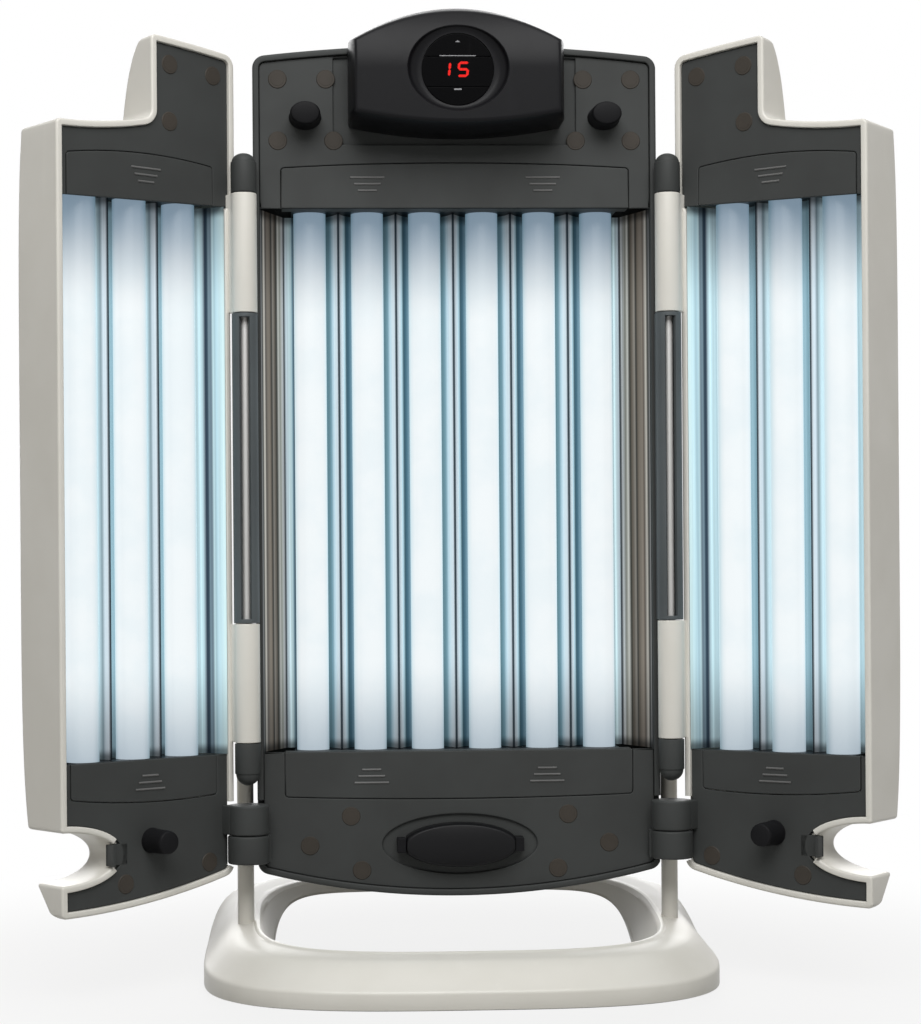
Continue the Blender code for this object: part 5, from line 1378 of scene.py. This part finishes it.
def control_head():
    """Bean-shaped housing with a soft front edge and a round funnel down to the dial."""
    outline = head_outline()

    def on_front(points, behind=0.0):
        return [(x, head_front(x, z) + behind, z) for x, z in points]

    rings = [flat_ring(outline, POCKET_FLOOR - GAP), flat_ring(outline, -HEAD_TAPER_START)]
    rings.append(on_front(inset(outline, HEAD_TAPER - SUPPORT), HEAD_FRONT_EDGE + 2 * SUPPORT))
    rings += [on_front(inset(outline, HEAD_TAPER + across), up) for across, up in rounding(HEAD_FRONT_EDGE)]
    shoulder = inset(outline, HEAD_TAPER + HEAD_FRONT_EDGE)
    mouth = toward_dial(outline, DIAL_MOUTH_X + FINE_EDGE, DIAL_MOUTH_Z + FINE_EDGE)
    for share in spread(0.0, 1.0, FRONT_STEPS)[1:]:
        rings.append(on_front(between(shoulder, mouth, share)))
    lip = toward_dial(outline, DIAL_MOUTH_X, DIAL_MOUTH_Z)
    edge = [head_front(x, z) + FINE_EDGE for x, z in lip]
    disc = DIAL_RADIUS + SEAM
    for turn in spread(0.0, math.pi / 2, FUNNEL_STEPS):
        share = 1 - math.cos(turn)
        half_x = DIAL_MOUTH_X + (disc - DIAL_MOUTH_X) * share
        half_z = DIAL_MOUTH_Z + (disc - DIAL_MOUTH_Z) * share
        rings.append([(x, start + (DIAL_FLOOR - start) * math.sin(turn), z)
                      for (x, z), start in zip(toward_dial(outline, half_x, half_z), edge)])
    rings.append(flat_ring(toward_dial(outline, disc, disc), DIAL_FLOOR + DIAL_THICKNESS))
    bm = bmesh.new()
    rows = skin(bm, rings, (False, True))
    fill(bm, rows[0])
    finish(bm, 'control_head', 'root', [HEAD_BLACK], nodes=['control_housing'])


def dial_segment(low, high):
    """Outline of the part of the dial's disc between two heights above its middle."""
    start, end = math.asin(max(low / DIAL_RADIUS, -1.0)), math.asin(min(high / DIAL_RADIUS, 1.0))
    right = [(DIAL_RADIUS * math.cos(t), DIAL_RADIUS * math.sin(t)) for t in spread(start, end, DISC_STEPS)]
    left = [(-x, z) for x, z in reversed(right)]
    points = [p for i, p in enumerate(right + left) if math.dist(p, (right + left)[i - 1]) > WELD]
    return [(x, DIAL_Z + z) for x, z in points]


def raised_mark(bm, outline):
    """Thin mark that stands just proud of the dial's face."""
    rings = [flat_ring(outline, y) for y in (DIAL_FLOOR + GAP, DIAL_FLOOR - DIGIT_RAISE)]
    skin(bm, rings, (True, True))


def bar_mark(half, low, high):
    return [(-half, low), (half, low), (half, high), (-half, high)]


# Small plain marks of each key, from the dial's middle
ARROW_MARK = [(-0.0020, 0.0208), (0.0020, 0.0208), (0.0, 0.0222)]
DIAL_MARKS = {'set_key': [ARROW_MARK, bar_mark(0.0140, 0.0101, 0.0107)],
              'start_key': [bar_mark(0.0029, -0.0158, -0.0147)]}


def dial():
    """Display window, the two keys, the lit digits and small plain marks."""
    half_seam = SEAM / 2
    window = (-START_KEY_EDGE + half_seam, SET_KEY_EDGE - half_seam)
    set_key = (SET_KEY_EDGE + half_seam, DIAL_RADIUS)
    start_key = (-DIAL_RADIUS, -START_KEY_EDGE - half_seam)
    parts = (('dial_window', 'root', 'display_window', window, DIAL_THICKNESS),
             ('dial_set_key', 'set_key', 'set_key', set_key, KEY_THICKNESS),
             ('dial_start_key', 'start_key', 'start_key', start_key, KEY_THICKNESS))
    for name, body, node, span, thick in parts:
        bm = bmesh.new()
        plate(bm, dial_segment(*span), DIAL_FLOOR, DIAL_FLOOR + thick, FINE_EDGE / 4)
        finish(bm, name, body, [DIAL_BLACK], nodes=[node])
    bm = bmesh.new()
    lit = {'1': 'bc', '5': 'afgcd'}
    for number, side in zip('15', (-1, 1)):
        digit(bm, lit[number], DIGIT_SHIFT + side * DIGIT_PITCH / 2)
    finish(bm, 'display_digits', 'root', [DIGIT_RED])
    for body, shapes in DIAL_MARKS.items():
        bm = bmesh.new()
        for shape in shapes:
            raised_mark(bm, [(x, DIAL_Z + z) for x, z in shape])
        finish(bm, 'mark_' + body, body, [PRINT_GREY])


def digit(bm, lit, middle):
    """Lit bars of one seven-bar digit, leaning a little."""
    wide, tall, stroke = DIGIT_WIDTH, DIGIT_HEIGHT, DIGIT_STROKE
    bars = {'a': (0, tall / 2, 0), 'g': (0, 0, 0), 'd': (0, -tall / 2, 0), 'f': (-wide / 2, tall / 4, 1),
            'b': (wide / 2, tall / 4, 1), 'e': (-wide / 2, -tall / 4, 1), 'c': (wide / 2, -tall / 4, 1)}
    for name in lit:
        x0, z0, upright = bars[name]
        length = tall / 2 if upright else wide
        half, tip = length / 2, stroke / 2
        shape = [(-half, 0.0), (-half + tip, -tip), (half - tip, -tip)]
        shape += [(half, 0.0), (half - tip, tip), (-half + tip, tip)]
        if upright:
            shape = [(-b, a) for a, b in shape]
        raised_mark(bm, [(middle + x0 + a + DIGIT_SLANT * (z0 + b), DIAL_Z + z0 + b) for a, b in shape])


# Open button, latch bolts and bumpers

def open_button():
    """Oval button with a softly domed face and flats where the latch bolts lie."""
    face, shoulder = 1 - OPEN_SHOULDER_IN, OPEN_WALL + OPEN_SHOULDER
    rows = [(1.0, OPEN_BACK), (1.0, -OPEN_WALL * OPEN_PROUD)]
    for turn in spread(0.0, math.pi / 2, BUTTON_STEPS)[1:]:
        across = 1 - OPEN_SHOULDER_IN * (1 - math.cos(turn))
        rows.append((across, -OPEN_PROUD * (OPEN_WALL + OPEN_SHOULDER * math.sin(turn))))
    for share in spread(face, OPEN_MIDDLE, FACE_STEPS)[1:]:
        crown = (1 - shoulder) * (1 - (share / face) ** 2)
        rows.append((share, -OPEN_PROUD * (shoulder + crown)))
    rings = []
    for share, y in rows:
        ring = []
        for x, z in ellipse(OPEN_HALF_X * share, OPEN_HALF_Z * share, 2 * ROUND_SIDES, 0.0, OPEN_Z):
            at_bolt = abs(z - OPEN_Z) < BOLT_HALF_HEIGHT + GAP
            ring.append((min(max(x, -OPEN_FLAT), OPEN_FLAT) if at_bolt else x, y, z))
        rings.append(ring)
    bm = bmesh.new()
    skin(bm, rings, (True, True))
    finish(bm, 'push_button', 'open_button', [BUTTON_BLACK], nodes=['open_button'])
    for word, side in SIDES.items():
        near = OPEN_FLAT + SEAM
        node = 'latch_bolt_' + word
        bm = bmesh.new()
        rounded_box(bm, (side * near, side * (near + 2 * BOLT_THICKNESS)),
                    (-BOLT_PROUD, BOLT_LENGTH - BOLT_PROUD),
                    (OPEN_Z - BOLT_HALF_HEIGHT, OPEN_Z + BOLT_HALF_HEIGHT))
        finish(bm, 'catch_' + word, node, [RUBBER], nodes=[node])


def bumper(name, node, body, x, z, half_x, half_z, face, place):
    """Stop with a soft shoulder and a slightly domed tip."""
    base = face + PLATE_FRONT - GAP
    wide, far = BUMPER_SHANK[-1]
    rows = list(BUMPER_SHANK)
    for turn in spread(0.0, math.pi / 2, TIP_STEPS)[1:]:
        across = wide - BUMPER_SHOULDER_IN * (1 - math.cos(turn))
        rows.append((across, far + BUMPER_SHOULDER * math.sin(turn)))
    tip, crown = wide - BUMPER_SHOULDER_IN, 1 - far - BUMPER_SHOULDER
    rows += [(share, 1 - crown * (share / tip) ** 2) for share in BUMPER_TIP]
    rings = []
    for share, along in rows:
        oval = ellipse(half_x * share, half_z * share, ROUND_SIDES, x, z)
        rings.append(flat_ring(oval, base - BUMPER_LENGTH * along))
    bm = bmesh.new()
    skin(bm, rings, (True, True))
    finish(bm, name, body, [RUBBER], place, [node])


def screw_caps():
    places = [(side * x, PLATE_FRONT, z) for side in (-1, 1) for x, z in CENTRE_CAPS]
    from_tree(SCREW_CAPS, 'centre_screw_caps', places, 'root', 'charcoal_plastic', CENTRE_FRAME,
              Radius=CAP_RADIUS, Height=CAP_HEIGHT, Finish=CAP_BROWN)
    places = [(x, HINGE_AHEAD + PLATE_FRONT, z) for x, z in WING_CAPS]
    for word in SIDES:
        from_tree(SCREW_CAPS, 'wing_screw_caps_' + word, places, 'wing_' + word, 'charcoal_plastic',
                  WING_FRAMES[word], Radius=CAP_RADIUS, Height=CAP_HEIGHT, Finish=CAP_BROWN)


# Hinge columns

def hinge(word, side):
    axis = Matrix.Translation((side * HINGE_AXIS_X, FACE_Y - HINGE_AHEAD, 0.0))
    bm = bmesh.new()
    turned(bm, rounded_rod(ROD_RADIUS, LOWER_BEARING_LOW + GAP, BEARING_TOP - GAP, FINE_EDGE / 2))
    finish(bm, 'rod_' + word, 'root', [ROD_STEEL], axis, ['hinge_rod_' + word])
    inside = COLUMN_RADIUS - CHANNEL_WALL
    turns = spread(CHANNEL_MOUTH, math.tau - CHANNEL_MOUTH, ROUND_SIDES)
    section = [(COLUMN_RADIUS * math.sin(t), -COLUMN_RADIUS * math.cos(t)) for t in turns]
    section += [(inside * math.sin(t), -inside * math.cos(t)) for t in reversed(turns)]
    low, high = CHANNEL_LOW + GAP, TUBE_LOW - GAP
    bm = bmesh.new()
    rows = skin(bm, [[(x, y, z) for x, y in section] for z in (low, high)])
    for row in rows:
        for i in range(len(turns) - 1):
            bm.faces.new((row[i], row[i + 1], row[-2 - i], row[-1 - i]))
    for start in (low, high - CHANNEL_WALL):
        turned(bm, rounded_rod(COLUMN_RADIUS, start, start + CHANNEL_WALL, FINE_EDGE / 2))
    reach = HINGE_AXIS_X - PANEL_HALF_WIDTH + RIM / 2
    rounded_box(bm, (0.0, -side * reach), (inside + GAP, HINGE_AHEAD - GAP), (low, high))
    finish(bm, 'channel_' + word, 'root', [CHARCOAL_HINGE], axis,
           ['hinge_channel_' + word])


# Stand

def base_level(y, share):
    """Height of the ring at a share of its section, which the arch lifts and thins towards the rear."""
    back = min(max((y - LIFT_START) / (LIFT_END - LIFT_START), 0.0), 1.0)
    low = PAD_THICKNESS + GAP + REAR_LIFT * back * back * (3 - 2 * back)
    backward = (y + BASE_HALF_DEPTH) / (2 * BASE_HALF_DEPTH)
    high = BASE_HEIGHT + REAR_RISE * max(backward, 0.0) ** REAR_RISE_POWER
    return low + share * (high - low)


def squared_oval(half_x, half_y, squareness, sides):
    power = 2 / squareness
    return [(half_x * math.copysign(abs(c) ** power, c), half_y * math.copysign(abs(s) ** power, s))
            for c, s in ellipse(1.0, 1.0, sides)]


def base_outline(across, sides):
    return squared_oval(BASE_HALF_WIDTH - across, BASE_HALF_DEPTH - across, BASE_SQUARENESS, sides)


def stand():
    bm = bmesh.new()
    rings = []
    for across, up in BASE_SECTION:
        rings.append([(x, y, base_level(y, up)) for x, y in base_outline(BASE_BAR * across, BASE_SIDES)])
    crest = base_outline(BASE_BAR, BASE_SIDES)
    opening = squared_oval(BASE_HALF_WIDTH - BASE_OPENING_X, BASE_HALF_DEPTH - BASE_OPENING_Y,
                           BASE_OPENING_SQUARENESS, BASE_SIDES)
    for share, up in BASE_WALL:
        rings.append([(x, y, base_level(y, up)) for x, y in between(crest, opening, share)])
    rings.append([(x, y, base_level(y, 0.0)) for x, y in base_outline(BASE_FOOT, BASE_SIDES)])
    rows = skin(bm, rings)
    join_rings(bm, rows[-1], rows[0])
    finish(bm, 'base_hoop', 'root', [CREAM], Matrix.Identity(4), ['base_ring'])
    margin = (BASE_FOOT - PAD_WIDTH) / 2
    outer, inner = (run_inside(base_outline(across, 2 * BASE_SIDES), lambda p: p[1] < LIFT_START)
                    for across in (margin, margin + PAD_WIDTH))
    bm = bmesh.new()
    edges = ((outer, 0.0), (outer, PAD_THICKNESS), (inner, PAD_THICKNESS), (inner, 0.0))
    lines = [[bm.verts.new((x, y, z)) for x, y in run] for run, z in edges]
    for near, far in zip(lines, lines[1:] + lines[:1]):
        for i in range(len(near) - 1):
            bm.faces.new((near[i], near[i + 1], far[i + 1], far[i]))
    for end in (0, -1):
        bm.faces.new([line[end] for line in lines])
    finish(bm, 'foot_strip', 'root', [PALE_RUBBER], Matrix.Identity(4), ['base_pad'])
    for word, side in SIDES.items():
        bm = bmesh.new()
        rod = rounded_rod(POST_RADIUS, POST_FOOT, POST_TOP, 2 * FINE_EDGE)
        turned(bm, rod, side * POST_AXIS_X, POST_BEHIND)
        finish(bm, 'stand_post_' + word, 'root', [CREAM], nodes=['post_' + word])
        bm = bmesh.new()
        across = (side * (PANEL_HALF_WIDTH + GAP), side * (POST_AXIS_X - GAP))
        depths = (POST_BEHIND - SADDLE_DEPTH / 2, POST_BEHIND + SADDLE_DEPTH / 2)
        rounded_box(bm, across, depths, (SADDLE_LOW, SADDLE_HIGH), 2 * FINE_EDGE)
        finish(bm, 'saddle_' + word, 'root', [CHARCOAL_HINGE],
               nodes=['post_saddle_' + word])


def mains_inlet():
    """Inlet socket at the back with a sunk middle and three contacts."""
    back = centre_depth(INLET_X, INLET_Z) + INLET_PROUD
    wide, high = INLET_HALF_WIDTH, INLET_HALF_HEIGHT
    outline = fillet([(-wide, -high, INLET_LOW_CORNER), (wide, -high, INLET_LOW_CORNER),
                      (wide, high, INLET_HIGH_CORNER), (-wide, high, INLET_HIGH_CORNER)])
    sunk = well(inset(outline, INLET_WALL), 0.0, INLET_WELL, FINE_EDGE, FINE_EDGE)
    bm = bmesh.new()
    plate(bm, outline, 0.0, INLET_LENGTH, wells=[sunk])
    socket = len(bm.faces)
    for x, z in CONTACT_PLACES:
        rounded_box(bm, (x - CONTACT_HALF_WIDTH, x + CONTACT_HALF_WIDTH), CONTACT_DEPTHS,
                    (z - CONTACT_HALF_HEIGHT, z + CONTACT_HALF_HEIGHT), CONTACT_EDGE)
    second_finish(bm, socket)
    turn = Matrix.Translation((INLET_X, FACE_Y + back, INLET_Z)) @ Matrix.Rotation(math.pi, 4, 'Z')
    finish(bm, 'inlet_socket', 'root', [HEAD_BLACK, STEEL], turn, ['mains_inlet'])


def vent_ribs():
    """Two blocks of low ribs on the back, as over the slots of a vent."""
    heights = [start + VENT_PITCH * k for start in VENT_STARTS for k in range(VENT_RIBS)]
    places = [(0.0, centre_depth(0.0, z), z) for z in heights]
    from_tree(GRIP_RIBS, 'vent_ribs', places, 'root', 'charcoal_plastic', CENTRE_FRAME, Longest=VENT_LENGTH,
              Shortest=VENT_LENGTH, Pitch=VENT_PITCH, Width=VENT_WIDTH, Rows=1, Finish=CHARCOAL)


def build_centre():
    centre_shell()
    centre_face_top()
    centre_face_bottom()
    places = lamp_places(CENTRE_LAMPS, 0.0)
    inner = PANEL_HALF_WIDTH - RIM - GAP
    reflector('centre_mirror', 'centre_reflector', 'root', places, CENTRE_LAMP_DEPTH, (-inner, inner),
              (REFLECTOR_FRONT, REFLECTOR_FRONT), [CENTRE_PAINTED_REFLECTIONS, CENTRE_STRIP_PAINTED_REFLECTIONS], CENTRE_FRAME)
    for k, x in enumerate(places, 1):
        lamp(f'centre_tube_{k}', f'centre_lamp_{k}', 'root', x, CENTRE_LAMP_DEPTH, CENTRE_FRAME)
    for upper, level in LEVELS:
        cover('centre_cover_' + level, CENTRE_FRAME, CENTRE_COVER, CENTRE_EDGES, upper, 0.0,
              CENTRE_LAMP_DEPTH, CENTRE_GRIPS, 0.0)
    control_head()
    dial()
    open_button()
    mains_inlet()
    vent_ribs()
    for word, side in SIDES.items():
        bumper('pin_' + word, 'centre_bumper_' + word, 'root', side * PIN_X, PIN_Z, PIN_HALF_X, PIN_HALF_Z,
               0.0, CENTRE_FRAME)
        hinge(word, side)


def build_wing(word):
    body, place = 'wing_' + word, WING_FRAMES[word]
    wing_shell(word)
    wing_faces(word)
    places = lamp_places(WING_LAMPS, WING_LAMP_MIDDLE)
    depth = HINGE_AHEAD + WING_LAMP_DEPTH
    inner = (WING_NEAR + RIM + GAP, WING_FREE_X - RIM - GAP)
    fronts = (HINGE_AHEAD + REFLECTOR_AT_HINGE, HINGE_AHEAD + REFLECTOR_FRONT)
    reflector('wing_mirror_' + word, 'wing_reflector_' + word, body, places, depth, inner,
              fronts, [WING_PAINTED_REFLECTIONS, WING_STRIP_PAINTED_REFLECTIONS], place)
    for k, x in enumerate(places, 1):
        lamp(f'wing_tube_{word}_{k}', f'wing_lamp_{word}_{k}', body, x, depth, place)
    for upper, level in LEVELS:
        cover(f'wing_cover_{level}_{word}', place, WING_COVER, WING_EDGES, upper, HINGE_AHEAD, depth,
              WING_GRIPS, WING_GRIP_SHIFT)
    bumper('stud_' + word, 'wing_bumper_' + word, body, STUD_X, STUD_Z, STUD_RADIUS, STUD_RADIUS,
           HINGE_AHEAD, place)


def dress_hidden_parts():
    """Finishes of the inner parts, which keep their solid shapes."""
    finishes = {'timer_board': BOARD_GREEN, 'ballast': STEEL}
    for name, node in frame['nodes'].items():
        if 'lampholder' in name:
            finishes[name] = HEAD_BLACK
        if name in finishes:
            node.data.materials.clear()
            node.data.materials.append(finishes[name])


# Floor, light and camera

FLOOR_SPAN = 30.0
FLOOR_COLOURS = ((0.38, 0.375, 0.36), (0.40, 0.395, 0.38))
FLOOR_WHITE = 0.82         # share of the floor that shows white near the object, where it keeps the shadow
FLOOR_FADE = (0.25, 0.75)  # distances over which the floor turns white
AMBIENT = 0.10
AMBIENT_TINT = (1.0, 0.95, 0.87, 1.0)
LIGHT_AIM = Vector((0.0, 0.0, 0.4))
# Soft lights: place, width, height, power
LIGHTS = {'overhead': ((0.0, -0.7, 2.4), 2.8, 1.8, 9.0),
          'front': ((-0.05, -1.8, 2.0), 2.0, 1.4, 55.0),
          'rear': ((0.0, 2.4, 1.0), 2.6, 1.6, 32.0)}
CAMERA_PLACE = (-0.1268, -1.9025, 0.3195)
CAMERA_YAW = math.radians(2.562)
CAMERA_ROLL = math.radians(-0.431)
FOCAL_PIXELS = 2393.1
IMAGE_WIDE, IMAGE_HIGH = 921, 1024
PRINCIPAL_X, PRINCIPAL_Y = 402.97, 571.2
SENSOR = 36.0


def seen_directly(tree):
    """1 for rays that show the background: from the camera, off gloss or through glass."""
    path = tree.nodes.new('ShaderNodeLightPath')
    seen = calc(tree, 'MAXIMUM', path.outputs['Is Camera Ray'], path.outputs['Is Glossy Ray'])
    return calc(tree, 'MAXIMUM', seen, path.outputs['Is Transmission Ray'])


def mix_shaders(tree, share, first, second, output):
    mix = tree.nodes.new('ShaderNodeMixShader')
    for socket, value in zip(mix.inputs, (share, first.outputs[0], second.outputs[0])):
        tree.links.new(value, socket)
    tree.links.new(mix.outputs[0], output.inputs[0])


def floor():
    mesh = bpy.data.meshes.new('floor')
    half = FLOOR_SPAN / 2
    corners = [(-half, -half, 0.0), (half, -half, 0.0), (half, half, 0.0), (-half, half, 0.0)]
    mesh.from_pydata(corners, [], [(0, 1, 2, 3)])
    material, tree, shader = new_material('pale floor', Roughness=0.6, Specular_IOR_Level=0.1)
    share = ramp(tree, noise(tree, object_place(tree), scale=3.0, detail=2.0), NOISE_SPAN)
    tree.links.new(blend_colours(tree, share, *FLOOR_COLOURS), shader.inputs['Base Color'])
    distance = tree.nodes.new('ShaderNodeVectorMath')
    distance.operation = 'LENGTH'
    tree.links.new(object_place(tree), distance.inputs[0])
    white = ramp(tree, distance.outputs['Value'], FLOOR_FADE, FLOOR_WHITE, 1.0)
    glow = tree.nodes.new('ShaderNodeEmission')
    mix_shaders(tree, calc(tree, 'MULTIPLY', seen_directly(tree), white), shader, glow,
                tree.nodes['Material Output'])
    mesh.materials.append(material)
    plane = bpy.data.objects.new('floor', mesh)
    bpy.context.collection.objects.link(plane)


def world():
    made = bpy.data.worlds.new('soft studio')
    made.use_nodes = True
    tree = made.node_tree
    tree.nodes.clear()
    white = add_node(tree, 'ShaderNodeBackground', Color=(1.0, 1.0, 1.0, 1.0))
    soft = add_node(tree, 'ShaderNodeBackground', Color=AMBIENT_TINT, Strength=AMBIENT)
    mix_shaders(tree, seen_directly(tree), soft, white, tree.nodes.new('ShaderNodeOutputWorld'))
    bpy.context.scene.world = made


def lights():
    for name, (place, wide, high, power) in LIGHTS.items():
        lamp_data = bpy.data.lights.new(name, 'AREA')
        lamp_data.shape = 'RECTANGLE'
        lamp_data.size = wide
        lamp_data.size_y = high
        lamp_data.energy = power
        light = bpy.data.objects.new(name, lamp_data)
        light.location = place
        light.rotation_euler = (LIGHT_AIM - Vector(place)).to_track_quat('-Z', 'Y').to_euler()
        bpy.context.collection.objects.link(light)


def camera():
    data = bpy.data.cameras.new('photo camera')
    data.sensor_width = SENSOR
    data.lens = FOCAL_PIXELS / IMAGE_HIGH * SENSOR
    data.shift_x = (IMAGE_WIDE / 2 - PRINCIPAL_X) / IMAGE_HIGH
    data.shift_y = (PRINCIPAL_Y - IMAGE_HIGH / 2) / IMAGE_HIGH
    eye = bpy.data.objects.new('photo camera', data)
    level = Matrix.Rotation(-CAMERA_YAW, 4, 'Z') @ Matrix.Rotation(math.pi / 2, 4, 'X')
    eye.matrix_world = Matrix.Translation(CAMERA_PLACE) @ level @ Matrix.Rotation(CAMERA_ROLL, 4, 'Z')
    bpy.context.collection.objects.link(eye)
    bpy.context.scene.camera = eye


stand()
build_centre()
for wing_word in SIDES:
    build_wing(wing_word)
screw_caps()
dress_hidden_parts()
floor()
world()
lights()
camera()
bpy.context.scene.view_settings.view_transform = 'Standard'
